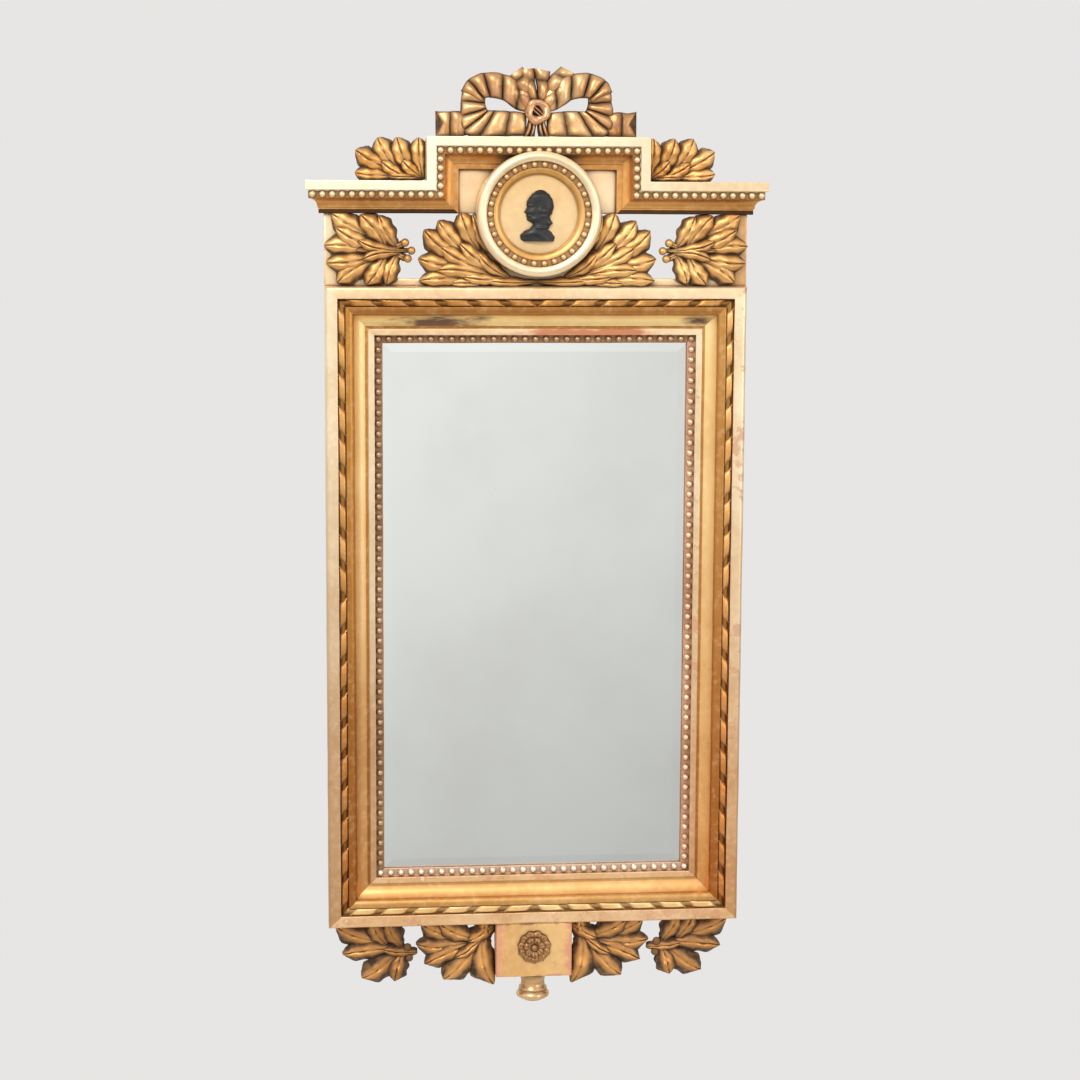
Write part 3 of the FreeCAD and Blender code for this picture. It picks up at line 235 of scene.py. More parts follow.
GOLD = (0.88, 0.53, 0.19, 1)
DEEP_GOLD = (0.66, 0.34, 0.09, 1)
PALE_GOLD = (0.97, 0.74, 0.43, 1)
CREAM_GOLD = (1.0, 0.90, 0.68, 1)
BOLE = (0.44, 0.165, 0.085, 1)
GESSO = (0.86, 0.79, 0.70, 1)
# Colour of dirt, also used as painted shade in hollows and creases.
GRIME_AND_SHADE = (0.042, 0.019, 0.007, 1)
DRIFT = (0.88, 0.80, 0.70)
DIRT_AND_SHADE_REACH, HOLLOW_SAMPLES = 0.014, 6
HOLLOWS = (0.78, 0.25)
RIGHT_START, RIGHT_END = 0.0, 0.2
# Heights over which painted shade darkens the colour towards the bottom.
FOOT_START, FOOT_END = 0.30, -0.32
# Clouds: scale and detail. Shows: noise where a thing starts and is full, then its shares there.
DRIFT_CLOUD, DRIFT_SHOW = (11, 5), (0.36, 0.66)
FLECK_CLOUD, FLECK_SHOW = (170, 3), (0.45, 0.8, 0, 0.2)
FLECK_DIRT_AND_SHADE, FLECK_ROUGHNESS = (0.3, 0.6, 0.75, 1), (0.3, 0.7, -0.05, 0.07)
EDGE_SHOW = (0.51, 0.58)
STREAK_CLOUD, STREAK_ROUGH, STREAK_SHOW = (80, 7, (0.3, 1, 1)), 0.65, (0.2, 0.8, -0.5, 0.5)
PATCH_SHOW = (1.05, 0.35)
# Wear: the two limits of its noise, each with how far full wear lowers it, and how fast the leaf goes.
RUB_CLOUD, RUB_ROUGH, RUB_LIMITS, RUB_GAIN = (38, 7), 0.68, ((0.66, 0.34), (0.72, 0.3)), 1.4
EDGE_CLOUD, EDGE_LIMITS, EDGE_GAIN = (60, 5), ((0.62, 0.4), (0.7, 0.3)), 3
CHIP_CLOUD, CHIP_LIMITS = (90, 4), ((0.70, 0.3), (0.74, 0.3))
CLEAN_METAL, DULL_METAL, DULL_ROUGHNESS = 0.84, 0.05, 0.66
GRAIN_CLOUD, GRAIN_BUMP = (620, 2), (0.12, 0.0005)


def lowered(limits, amount):
    """Limits of a fade, each lowered by its own share of an amount."""
    return [limit - amount * share for limit, share in limits]


def gilding(name, tone=GOLD, deep=DEEP_GOLD, pale=PALE_GOLD, right=None, foot_shade=None, worn=0.2, chipped=0.0,
            grime_and_shade=0.8, gloss=0.40, patches=(), reach=DIRT_AND_SHADE_REACH, hollows=HOLLOWS):
    """Gold leaf on bole: tone drifts slowly, hollows get dirt and painted shade, bole shows where it is
    rubbed.

    Right is the tone at the mirror's right side where that differs, and foot_shade is the painted shade that
    darkens it lower down. Chipped is how much of the bare ground shows white gesso. A patch is the middle,
    the half sizes and the colour of a place where the leaf is lost. Reach is how far off a hollow's other
    side may be, and hollows are how open it is where dirt and painted shade start and where they are full.
    """
    shader = Shader(name)
    drift = shader.fade(shader.cloud(*DRIFT_CLOUD), *DRIFT_SHOW)
    fleck = shader.cloud(*FLECK_CLOUD)
    spot = shader.add("ShaderNodeSeparateXYZ", {0: shader.place})
    if right:
        beside = shader.fade(spot.outputs["X"], RIGHT_START, RIGHT_END)
        tone = shader.mix(beside, tone, right)
        deep = shader.mix(beside, deep, right)
    colour = shader.mix(drift, tone, deep)
    # Painted shade: the colour is multiplied darker towards the bottom of the mirror.
    if foot_shade:
        colour = shader.mix(shader.fade(spot.outputs["Z"], FOOT_START, FOOT_END), colour, foot_shade, "MULTIPLY")
    colour = shader.mix(shader.fade(fleck, *FLECK_SHOW), colour, pale)
    edge = shader.fade(shader.add("ShaderNodeNewGeometry").outputs["Pointiness"], *EDGE_SHOW)
    rub = shader.fade(shader.cloud(*RUB_CLOUD, rough=RUB_ROUGH), *lowered(RUB_LIMITS, worn))
    edge_noise = shader.cloud(*EDGE_CLOUD)
    edge_rub = shader.fade(edge_noise, *lowered(EDGE_LIMITS, worn), 0, min(1, worn * EDGE_GAIN))
    rubbed = shader.sum("MAXIMUM", shader.sum("MULTIPLY", rub, min(1, worn * RUB_GAIN)),
                        shader.sum("MULTIPLY", edge, edge_rub))
    clay = BOLE
    if chipped:
        clay = shader.mix(shader.fade(shader.cloud(*CHIP_CLOUD), *lowered(CHIP_LIMITS, chipped)), BOLE, GESSO)
    colour = shader.mix(rubbed, colour, clay)
    for middle, size, stain in patches:
        near = shader.add("ShaderNodeMapping", {"Vector": shader.place, "Location": middle, "Scale": size},
                          vector_type="TEXTURE").outputs[0]
        away = shader.add("ShaderNodeVectorMath", {0: near}, operation="LENGTH").outputs["Value"]
        streak = shader.fade(shader.cloud(*STREAK_CLOUD, rough=STREAK_ROUGH), *STREAK_SHOW)
        lost = shader.fade(shader.sum("ADD", away, streak), *PATCH_SHOW)
        colour = shader.mix(lost, colour, stain)
        rubbed = shader.sum("MAXIMUM", rubbed, lost)
    # Painted shade: ambient occlusion darkens the colour in hollows, together with the dirt and painted shade
    # marked on the points.
    open_air = shader.add("ShaderNodeAmbientOcclusion", {"Distance": reach}, samples=HOLLOW_SAMPLES)
    hollow = shader.fade(open_air.outputs["AO"], *hollows)
    carved = shader.add("ShaderNodeAttribute", attribute_name="dirt_and_shade").outputs["Fac"]
    carved = shader.sum("MULTIPLY", carved, shader.fade(fleck, *FLECK_DIRT_AND_SHADE))
    dirt_and_shade = shader.sum("MULTIPLY", shader.sum("MAXIMUM", hollow, carved), grime_and_shade)
    colour = shader.mix(dirt_and_shade, colour, GRIME_AND_SHADE)
    dull = shader.sum("MAXIMUM", rubbed, dirt_and_shade)
    shader.set(Base_Color=colour)
    shader.set(Metallic=shader.fade(dull, 0, 1, CLEAN_METAL, DULL_METAL))
    shader.set(Roughness=shader.sum("ADD", shader.fade(dull, 0, 1, gloss, DULL_ROUGHNESS),
                                    shader.fade(fleck, *FLECK_ROUGHNESS)))
    shader.set(Normal=shader.bump(shader.sum("ADD", fleck, shader.cloud(*GRAIN_CLOUD)), *GRAIN_BUMP))
    return shader.material


PINE_LIGHT, PINE_DARK = (0.46, 0.29, 0.15, 1), (0.21, 0.115, 0.05, 1)
WOOD_STRETCH = {"X": (0.06, 1, 1), "Z": (1, 1, 0.06)}
WOOD_STREAK, WOOD_STREAK_SHOW = (140, 6), (0.35, 0.68)
WOOD_RING, WOOD_RING_SHOW = (26, 3), (0.52, 0.66, 0, 0.5)
WOOD_DUST, WOOD_DUST_CLOUD, WOOD_DUST_SHOW = (0.12, 0.085, 0.055, 1), (7, 5), (0.5, 0.75, 0, 0.45)
WOOD_ROUGHNESS, WOOD_BUMP = (0.3, 0.7, 0.62, 0.86), (0.35, 0.0008)


def bare_wood(name, light=PINE_LIGHT, dark=PINE_DARK, along="Z"):
    """Aged pine: long streaks along the grain, darker late wood, dust and a few stains."""
    shader = Shader(name)
    streak = shader.cloud(*WOOD_STREAK, WOOD_STRETCH[along])
    ring = shader.cloud(*WOOD_RING, WOOD_STRETCH[along])
    colour = shader.mix(shader.fade(streak, *WOOD_STREAK_SHOW), light, dark)
    colour = shader.mix(shader.fade(ring, *WOOD_RING_SHOW), colour, dark)
    colour = shader.mix(shader.fade(shader.cloud(*WOOD_DUST_CLOUD), *WOOD_DUST_SHOW), colour, WOOD_DUST)
    shader.set(Base_Color=colour, Roughness=shader.fade(streak, *WOOD_ROUGHNESS))
    shader.set(Normal=shader.bump(streak, *WOOD_BUMP))
    return shader.material


class Shell:
    """Points with their dirt and painted shade, faces with their material zones, of one piece while it is
    made.
    """

    def __init__(self):
        self.points = []
        self.dirt_and_shade = []
        self.faces = []
        self.zones = []

    def loft(self, rows, capped=True, zones=None, dirt_and_shade=None, cap=0):
        """Faces from ring to ring; caps, in a zone of their own, close the two ends."""
        across = len(rows[0])
        first = len(self.points)
        for index, row in enumerate(rows):
            self.points.extend(row)
            self.dirt_and_shade.extend(dirt_and_shade[index] if dirt_and_shade else [0] * across)
        for row in range(len(rows) - 1):
            near = first + row * across
            far = near + across
            for column in range(across):
                beside = (column + 1) % across
                self.faces.append((near + column, near + beside, far + beside, far + column))
                self.zones.append(zones[column] if zones else 0)
        if capped:
            for start in (first, len(self.points) - across):
                self.faces.append(tuple(range(start, start + across)))
                self.zones.append(cap)

    def piece(self, name, skins, stands_for, body="mirror", crease=38):
        """The finished piece on its body; edges bent by more than crease, in degrees, stay sharp."""
        mesh = bpy.data.meshes.new(name)
        mesh.from_pydata(self.points, [], self.faces)
        mesh.attributes.new("dirt_and_shade", "FLOAT", "POINT").data.foreach_set("value", self.dirt_and_shade)
        for skin in skins:
            mesh.materials.append(skin)
        for face, zone in zip(mesh.polygons, self.zones):
            face.material_index = zone
        shape = bmesh.new()
        shape.from_mesh(mesh)
        bmesh.ops.remove_doubles(shape, verts=shape.verts, dist=WELD)
        bmesh.ops.recalc_face_normals(shape, faces=shape.faces)
        for face in shape.faces:
            face.smooth = True
        shape.to_mesh(mesh)
        shape.free()
        mesh.set_sharp_from_angle(angle=math.radians(crease))
        made = bpy.data.objects.new(name, mesh)
        scene.collection.objects.link(made)
        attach(made, body)
        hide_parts(*stands_for)


def corners(*spots):
    """Corners of a profile from pairs of numbers."""
    return [Vector(spot) for spot in spots]


def turns(count):
    """Angles of places evenly round a circle."""
    return [math.tau * index / count for index in range(count)]


def bowed(start, end, rise, steps=CURVE_STEPS):
    """Points after start up to end, on a curve that rises to the left by a share of the chord."""
    chord = end - start
    top = (start + end) / 2 + Vector((-chord.y, chord.x)) * (2 * rise)
    shares = [step / steps for step in range(1, steps + 1)]
    return [start.lerp(top, share).lerp(top.lerp(end, share), share) for share in shares]


EASE_ANGLE = math.radians(30)
EASE_MOST, EASE_GUARD = 0.3, 1.5
EASE_SHARES = (0, 0.33, 0.67, 1)


def softened(outline, ease):
    """The outline with its corners eased, and a point beside each so that flat faces stay flat."""
    eased = []
    for index, corner in enumerate(outline):
        before = outline[index - 1] - corner
        after = outline[(index + 1) % len(outline)] - corner
        if before.angle(-after) < EASE_ANGLE:
            eased.append(corner)
            continue
        back = before.normalized() * min(ease, before.length * EASE_MOST)
        ahead = after.normalized() * min(ease, after.length * EASE_MOST)
        eased.append(corner + back * EASE_GUARD)
        for share in EASE_SHARES:
            eased.append((corner + back).lerp(corner, share).lerp(corner.lerp(corner + ahead, share), share))
        eased.append(corner + ahead * EASE_GUARD)
    return eased


# The unevenness is the same at every run.
noise.seed_set(UNEVEN_SEED)


def uneven(point, reach=UNEVEN_REACH, wave=UNEVEN_SIZE):
    """The point moved a little, as a hand plane and many coats of gesso leave it."""
    return point + noise.noise_vector(point / wave) * reach


moulding = corners((0, frame_back), (0, frame_front - ARRIS))
moulding += bowed(moulding[-1], Vector((ARRIS, frame_front)), QUARTER_RISE)
moulding += corners((CHANNEL_START, frame_front), (CHANNEL_START, CHANNEL_FLOOR),
                    (CHANNEL_END, CHANNEL_FLOOR), (CHANNEL_END, BEAD_LEVEL), (BEAD_END, BEAD_LEVEL))
moulding += bowed(moulding[-1], Vector((COVE_START, COVE_START_LEVEL)), QUARTER_RISE)
moulding += bowed(moulding[-1], Vector((COVE_END, COVE_END_LEVEL)), COVE_RISE, CURVE_STEPS * 2)
moulding += corners((COVE_END, INNER_FILLET_LEVEL), (PEARL_BED_START, INNER_FILLET_LEVEL),
                    (PEARL_BED_START, PEARL_BED_LEVEL), (SIGHT_EDGE, PEARL_BED_LEVEL),
                    (SIGHT_EDGE, SIGHT_LIP_LEVEL), (REBATE_START, SIGHT_LIP_LEVEL),
                    (REBATE_START, frame_back))
moulding = softened(moulding, MOULDING_EASE)


def moulding_zone(near, far):
    """Which skin a face of the moulding has: cove, bare wood, fillet, pearl bed or bead."""
    middle = (near + far) / 2
    if middle.y < SIGHT_LIP_LEVEL + WELD and middle.x > MOULDING_EASE * 2:
        return 1
    if COVE_END - MOULDING_EASE < middle.x < PEARL_BED_START or middle.x < CHANNEL_START:
        return 2
    if middle.x < COVE_START or COVE_END - COVE_FOOT < middle.x < COVE_END:
        return 4
    return 3 if middle.x > PEARL_BED_START else 0


moulding_zones = [moulding_zone(near, far) for near, far in zip(moulding, moulding[1:] + moulding[:1])]
pine = bare_wood("bare_pine")
rail_pine = bare_wood("bare_rail_pine", along="X")
dark_bed = gilding("dark_pearl_bed", tone=(0.40, 0.22, 0.11, 1), deep=(0.28, 0.14, 0.07, 1),
                   worn=0.1, grime_and_shade=0.45)
red_bed = gilding("red_pearl_bed", tone=(0.72, 0.41, 0.25, 1), deep=(0.56, 0.29, 0.17, 1),
                  worn=0.2, grime_and_shade=0.35)
pale_bed = gilding("pale_pearl_bed", tone=(0.80, 0.56, 0.41, 1), deep=(0.66, 0.42, 0.29, 1),
                   worn=0.15, grime_and_shade=0.4)

rail_length, stile_length = half_width * 2, half_height * 2
BROWN_STAIN = (0.13, 0.06, 0.032, 1)
RED_STAIN = (0.50, 0.19, 0.085, 1)
COVE_WEAR, BEAD_WEAR = 0.3, 0.08
COVE_PATCHES = [
    (Vector((-0.098, -0.029, half_height - 0.036)), Vector((0.052, 0.014, 0.010)), BROWN_STAIN),
    (Vector((0.165, -0.029, half_height - 0.034)), Vector((0.024, 0.014, 0.008)), BROWN_STAIN),
]
FILLET_PATCHES = [
    (Vector((0.060, -0.027, half_height - 0.047)), Vector((0.080, 0.014, 0.0075)), RED_STAIN),
]


def deeper(tone):
    """The darker tone that a gilded surface drifts to."""
    return tone[0] * DRIFT[0], tone[1] * DRIFT[1], tone[2] * DRIFT[2], 1


def on_rail(end):
    """Places on a rail, by the way along it, in from its outer edge and off the wall."""
    return lambda along, wide, deep: Vector((along - half_width, -deep, end * (half_height - wide)))


def on_stile(side):
    """Places on a stile, by the way along it, in from its outer edge and off the wall."""
    return lambda along, wide, deep: Vector((side * (half_width - wide), -deep, along - half_height))


on_top, on_bottom = on_rail(1), on_rail(-1)
on_left, on_right = on_stile(-1), on_stile(1)
# Painted shade on the stiles and their twists, darker towards the bottom.
LEFT_FOOT_SHADE, RIGHT_FOOT_SHADE = (0.60, 0.40, 0.26, 1), (0.78, 0.53, 0.37, 1)
# Dirt and painted shade darken the outer side and its arris.
moulding_dirt_and_shade = [ARRIS_DIRT_AND_SHADE * max(0, 1 - spot.x / ARRIS) for spot in moulding]
for node, length, place, worn, chipped, fillet, cove, bead, bed, foot_shade, wood in (
    # fillet, cove and bead are the tones of these members
    ("top_rail", rail_length, on_top, 0.12, 0.0, (0.95, 0.71, 0.46, 1), (1.0, 0.76, 0.36, 1),
     (0.46, 0.21, 0.055, 1), dark_bed, None, rail_pine),
    ("bottom_rail", rail_length, on_bottom, 0.32, 0.2, (0.93, 0.61, 0.34, 1), (0.89, 0.52, 0.21, 1),
     (0.64, 0.35, 0.12, 1), pale_bed, None, rail_pine),
    ("left_stile", stile_length, on_left, 0.14, 0.0, (1.0, 0.85, 0.62, 1), (0.98, 0.70, 0.35, 1),
     (0.60, 0.30, 0.075, 1), dark_bed, LEFT_FOOT_SHADE, pine),
    ("right_stile", stile_length, on_right, 0.36, 0.1, (0.93, 0.77, 0.53, 1), (1.0, 0.72, 0.34, 1),
     (0.58, 0.29, 0.08, 1), red_bed, RIGHT_FOOT_SHADE, pine),
):
    shell = Shell()
    stations = round(length / MOULDING_STEP)
    shell.loft([
        [uneven(place(spot.x + (length - 2 * spot.x) * station / stations, spot.x, spot.y))
         for spot in moulding]
        for station in range(stations + 1)
    ], zones=moulding_zones, dirt_and_shade=[moulding_dirt_and_shade] * (stations + 1), cap=1)
    cove_patches, fillet_patches = (COVE_PATCHES, FILLET_PATCHES) if node == "top_rail" else ((), ())
    shell.piece(f"gilt_{node}", [
        gilding(f"{node}_cove", tone=cove, deep=deeper(cove), foot_shade=foot_shade, worn=worn * COVE_WEAR,
                patches=cove_patches),
        wood,
        # The fillets' cream tones stand partly for painted highlight, palest on the left stile.
        gilding(f"{node}_fillets", tone=fillet, deep=deeper(fillet), pale=CREAM_GOLD, foot_shade=foot_shade, worn=worn,
                chipped=chipped, grime_and_shade=0.6, patches=fillet_patches),
        bed,
        # The bead's dark tone, also on the strip at the cove's foot, is partly painted shade, darkest on the
        # top rail.
        gilding(f"{node}_bead", tone=bead, deep=deeper(bead), foot_shade=foot_shade, worn=BEAD_WEAR, grime_and_shade=0.5),
    ], [node])


# Ribbon-twist bands: a slim rod wound with a flat ribbon, carved as one strip and glued into the channel.
# The ribbon leans one way on each side of the middle; gilding is worn, and dirt and painted shade darken
# the gaps between turns.

TWIST_PITCH = 0.032
TURN_SHARE = 0.80
TURN_LEAN = 0.0030
TURN_LIFT = 0.005
TURN_SHOULDER, TURN_ROUND = 2.6, 0.55
TURN_FALL, TURN_DIP = 0.75, 0.12
TURN_FOOT, TURN_CROWN = 0.18, 0.78
TURN_SHADE_START = 0.5
TURN_DIRT_AND_SHADE = 0.5
TURN_ROWS = 12
TURN_COLUMNS = 8
ROD_LIFT = 0.002
ROD_STEPS = 6
ROD_SHADE = (0.50, 0.46, 0.40)

band_middle = (CHANNEL_START + CHANNEL_END) / 2
band_half = (CHANNEL_END - CHANNEL_START) / 2


def twist_turn(middle, lean):
    """Rows of one turn (along the stick, across it, off the wall), and the dirt and painted shade of their
    points.
    """
    rows, dirt_and_shade = [], []
    for row in range(TURN_ROWS + 1):
        share = row / TURN_ROWS * 2 - 1
        rounding = (1 - abs(share) ** TURN_SHOULDER) ** TURN_ROUND
        ring, soil_and_shade = [], []
        for column in range(TURN_COLUMNS + 1):
            across = column / TURN_COLUMNS * 2 - 1
            crown = (1 - TURN_FALL * abs(across) ** 3) * (1 - TURN_DIP * math.cos(across * math.pi))
            ring.append(Vector((middle + share * TWIST_PITCH * TURN_SHARE / 2 + across * lean,
                                band_middle + across * band_half,
                                CHANNEL_FLOOR + TURN_LIFT * (TURN_FOOT + TURN_CROWN * crown * rounding))))
            # Dirt and painted shade: each turn darkens towards its two ends and its two edges.
            soil_and_shade.append(TURN_DIRT_AND_SHADE * max(0, (abs(share) - TURN_SHADE_START) / (1 - TURN_SHADE_START), abs(across) ** 6))
        ring.append(Vector((ring[-1].x, ring[-1].y, CHANNEL_FLOOR)))
        ring.append(Vector((ring[0].x, ring[0].y, CHANNEL_FLOOR)))
        rows.append(ring)
        dirt_and_shade.append(soil_and_shade + [1, 1])
    return rows, dirt_and_shade


rod = [Vector((band_middle - band_half, CHANNEL_FLOOR))]
rod += bowed(rod[0], Vector((band_middle + band_half, CHANNEL_FLOOR)), ROD_LIFT / band_half / 2, ROD_STEPS)
for node, length, tone, foot_shade, place in (
    ("twist_top", rail_length, (0.59, 0.29, 0.08, 1), None, on_top),
    ("twist_bottom", rail_length, (1.0, 0.68, 0.32, 1), None, on_bottom),
    ("twist_left", stile_length, (0.84, 0.47, 0.16, 1), LEFT_FOOT_SHADE, on_left),
    ("twist_right", stile_length, (0.86, 0.48, 0.17, 1), RIGHT_FOOT_SHADE, on_right),
):
    shell = Shell()
    shell.loft([
        [place(spot.x + (length - 2 * spot.x) * end, spot.x, spot.y) for spot in rod] for end in (0, 1)
    ], zones=[1] * len(rod))
    straight = length - 2 * CHANNEL_END
    count = round(straight / TWIST_PITCH)
    for index in range(count):
        share = (index + 0.5) / count
        lean = TURN_LEAN if index < count / 2 else -TURN_LEAN
        rows, dirt_and_shade = twist_turn(CHANNEL_END + straight * share, lean)
        shell.loft([[uneven(place(*spot)) for spot in ring] for ring in rows], dirt_and_shade=dirt_and_shade)
    shade = tuple(part * share for part, share in zip(tone, ROD_SHADE)) + (1,)
    shell.piece(f"wound_{node}", [
        gilding(f"{node}_gilding", tone=tone, deep=deeper(tone), foot_shade=foot_shade, worn=0.1, grime_and_shade=0.75),
        gilding(f"{node}_rod", tone=shade, deep=deeper(shade), pale=shade, foot_shade=foot_shade, worn=0.02, grime_and_shade=0.5),
    ], [node])


# Pearl strings: half-round beads in single file, carved and glued on a dark bed at the sight edge, under the
# cornice's fillet and round the medallion. Their gilding is rubbed, pale below and dark at the top and left.

PEARL_SIDES = 12
PEARL_RINGS = (
    # degrees from the crown, dirt and painted shade
    (96, 1.0), (72, 0.7), (48, 0.2), (26, 0.0), (9, 0.0),
)
SIGHT_PEARL_RADIUS = 0.0034
SIGHT_PEARL_PITCH = 0.0105
SIGHT_PEARL_LINE = (PEARL_BED_START + SIGHT_EDGE) / 2
PEARL_SLIP = 0.0009
PEARL_UNEVEN, PEARL_UNEVEN_SIZE = 0.05, 0.0025

pearl_skin = gilding("pearl_gilding", tone=(0.97, 0.72, 0.42, 1), deep=(0.88, 0.58, 0.30, 1),
                     pale=CREAM_GOLD, worn=0.2, grime_and_shade=0.6)
dark_pearl_skin = gilding("dark_pearl_gilding", tone=(0.60, 0.37, 0.20, 1), deep=(0.46, 0.27, 0.14, 1),
                          worn=0.06, grime_and_shade=0.6)
red_pearl_skin = gilding("red_pearl_gilding", tone=(0.98, 0.67, 0.45, 1), deep=(0.86, 0.53, 0.33, 1),
                         pale=CREAM_GOLD, worn=0.15, grime_and_shade=0.6)
pale_pearl_skin = gilding("pale_pearl_gilding", tone=(1.0, 0.86, 0.71, 1), deep=(0.94, 0.74, 0.56, 1),
                          pale=CREAM_GOLD, worn=0.1, grime_and_shade=0.5)


def add_pearl(shell, middle, radius, crown_dirt_and_shade=0):
    """A bead facing the front; its middle lies on the bed, and dirt and painted shade grow towards its foot.
    """
    radius *= 1 + PEARL_UNEVEN * noise.noise(middle / PEARL_UNEVEN_SIZE)
    rings = []
    for angle, soil_and_shade in PEARL_RINGS:
        out, up = radius * math.sin(math.radians(angle)), radius * math.cos(math.radians(angle))
        rings.append([middle + Vector((out * math.cos(turn), -up, out * math.sin(turn)))
                      for turn in turns(PEARL_SIDES)])
    shell.loft(rings, dirt_and_shade=[[max(soil_and_shade, crown_dirt_and_shade)] * PEARL_SIDES for angle, soil_and_shade in PEARL_RINGS])


def pearl_count(length, pitch):
    return max(1, round(length / pitch))


sight_level = PEARL_BED_LEVEL + PEARL_SLIP
for node, length, skin, ends, place in (
    ("sight_pearls_top", rail_length, dark_pearl_skin, True, on_top),
    ("sight_pearls_bottom", rail_length, pale_pearl_skin, True, on_bottom),
    ("sight_pearls_left", stile_length, dark_pearl_skin, False, on_left),
    ("sight_pearls_right", stile_length, red_pearl_skin, False, on_right),
):
    shell = Shell()
    run = length - 2 * SIGHT_PEARL_LINE
    count = pearl_count(run, SIGHT_PEARL_PITCH)
    for index in range(0 if ends else 1, count + 1 if ends else count):
        add_pearl(shell, place(SIGHT_PEARL_LINE + run * index / count, SIGHT_PEARL_LINE, sight_level),
                  SIGHT_PEARL_RADIUS)
    shell.piece(f"carved_{node}", [skin], [node])


# Mirror glass: an old plate with a bevelled edge, silvered behind with tin and held in the frame's rebate.
# The silvering is soft and a little grey, with faint clouds and a few specks.

GLASS_BEVEL = 0.0165
GLASS_BEVEL_DROP = 0.0012
GLASS_TONE = (0.86, 0.875, 0.855, 1)
GLASS_CLOUD = (0.80, 0.81, 0.785, 1)
GLASS_SPECK = (0.55, 0.53, 0.44, 1)
HAZE_CLOUD, HAZE_SHOW, HAZE_ROUGHNESS = (5, 4), (0.4, 0.7), (0.05, 0.10)
SPECK_CLOUD, SPECK_ROUGH, SPECK_SHOW = (46, 5), 0.7, (0.73, 0.8)

silvering = Shader("silvered_glass")
glass_haze = silvering.fade(silvering.cloud(*HAZE_CLOUD), *HAZE_SHOW)
glass_speck = silvering.fade(silvering.cloud(*SPECK_CLOUD, rough=SPECK_ROUGH), *SPECK_SHOW)
glass_colour = silvering.mix(glass_haze, GLASS_TONE, GLASS_CLOUD)
silvering.set(Metallic=1.0)
silvering.set(Base_Color=silvering.mix(glass_speck, glass_colour, GLASS_SPECK))
silvering.set(Roughness=silvering.sum("ADD", silvering.fade(glass_haze, 0, 1, *HAZE_ROUGHNESS), glass_speck))
glass_low, glass_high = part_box("mirror_glass")


def rectangle(low, high, inset, level):
    """Corners of an upright rectangle at one distance from the wall."""
    return [Vector((x, -level, z)) for x, z in (
        (low.x + inset, low.z + inset), (high.x - inset, low.z + inset),
        (high.x - inset, high.z - inset), (low.x + inset, high.z - inset))]


shell = Shell()
shell.loft([
    rectangle(glass_low, glass_high, 0, -glass_high.y),
    rectangle(glass_low, glass_high, 0, -glass_low.y - GLASS_BEVEL_DROP),
    rectangle(glass_low, glass_high, GLASS_BEVEL, -glass_low.y),
])
shell.piece("silvered_plate", [silvering.material], ["mirror_glass"], crease=1)


# Frieze: two posts and a T-shaped tablet stand on a thin sill above the top rail and carry the cornice.
# They are plain gessoed boards, gilded pale, with openings between them that show the wall behind.

BOARD_EASE = 0.0009
# Shares of the ease: how far in the back's and the front's inner lines lie, and the cut at the edge.
BOARD_BACK_LINE, BOARD_FRONT_LINE, BOARD_CUT = 2, 2.5, 0.3
NECK_HALF = 0.062

post_skin = gilding("frieze_gilding", tone=(0.98, 0.77, 0.49, 1), deep=(0.89, 0.62, 0.33, 1),
                    right=(0.64, 0.36, 0.16, 1), worn=0.16, grime_and_shade=0.85)
tablet_skin = gilding("tablet_gilding", tone=(0.98, 0.75, 0.48, 1), deep=(0.88, 0.60, 0.34, 1), worn=0.12,
                      grime_and_shade=0.85)


def add_board(shell, low, high, ease=BOARD_EASE):
    """A board between two corners with its front edges eased; its back is in the second zone."""
    back, front = -high.y, -low.y
    first = len(shell.faces)
    levels = ((ease * BOARD_BACK_LINE, back), (0, back), (0, (back + front) / 2), (0, front - ease),
              (ease * BOARD_CUT, front - ease * BOARD_CUT), (ease, front),
              (ease * BOARD_FRONT_LINE, front))
    shell.loft([rectangle(low, high, inset, level) for inset, level in levels])
    back_cap = 4 * (len(levels) - 1)
    for face in (0, 1, 2, 3, back_cap):
        shell.zones[first + face] = 1


for node, skin in (
    ("frieze_post_left", post_skin), ("frieze_post_right", post_skin), ("frieze_sill", tablet_skin),
):
    shell = Shell()
    add_board(shell, *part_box(node))
    shell.piece(f"gilt_{node}", [skin, pine], [node])

tablet_low, tablet_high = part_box("centre_tablet")
neck_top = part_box("cornice_low_left")[0].z
shell = Shell()
add_board(shell, Vector((-NECK_HALF, tablet_low.y, tablet_low.z)),
          Vector((NECK_HALF, tablet_high.y, neck_top)))
add_board(shell, Vector((tablet_low.x, tablet_low.y, neck_top)), tablet_high)
shell.piece("gilt_centre_tablet", [tablet_skin, pine], ["centre_tablet"])


# Cornice: one moulding, a broad fillet over a pearl bed, a hollow and a bead, stepped up over the medallion.
# It is mitred from seven short runs; the fillet's pale cream is partly burnished gold worn thin and partly
# painted highlight.

CORNICE_BEAD = 0.0055
# Height of the near-black painted shadow along the low runs' foot.
CORNICE_SHADOW_TOP = 0.0042
CORNICE_FOOT_STEP = 0.029
CORNICE_HOLLOW_START = 0.030
CORNICE_HOLLOW_END, CORNICE_BED_LEVEL = 0.038, 0.0145
CORNICE_BED_STEP = 0.039
CORNICE_FILLET_LEVEL = 0.0225
CORNICE_EASE = 0.0008
CORNICE_LEAST_STEPS = 3
CORNICE_PEARL_RADIUS = 0.0034
CORNICE_PEARL_PITCH = 0.0095

low_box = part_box("cornice_low_left")
top_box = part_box("cornice_top")
cornice_back = -low_box[1].y
cornice_reach = -low_box[0].y - cornice_back
cornice_rise = low_box[1].z - low_box[0].z
cornice_foot = low_box[0].z
raised_foot = top_box[0].z
raised_neck = top_box[1].x - cornice_rise
cornice_neck = -low_box[0].x - cornice_reach

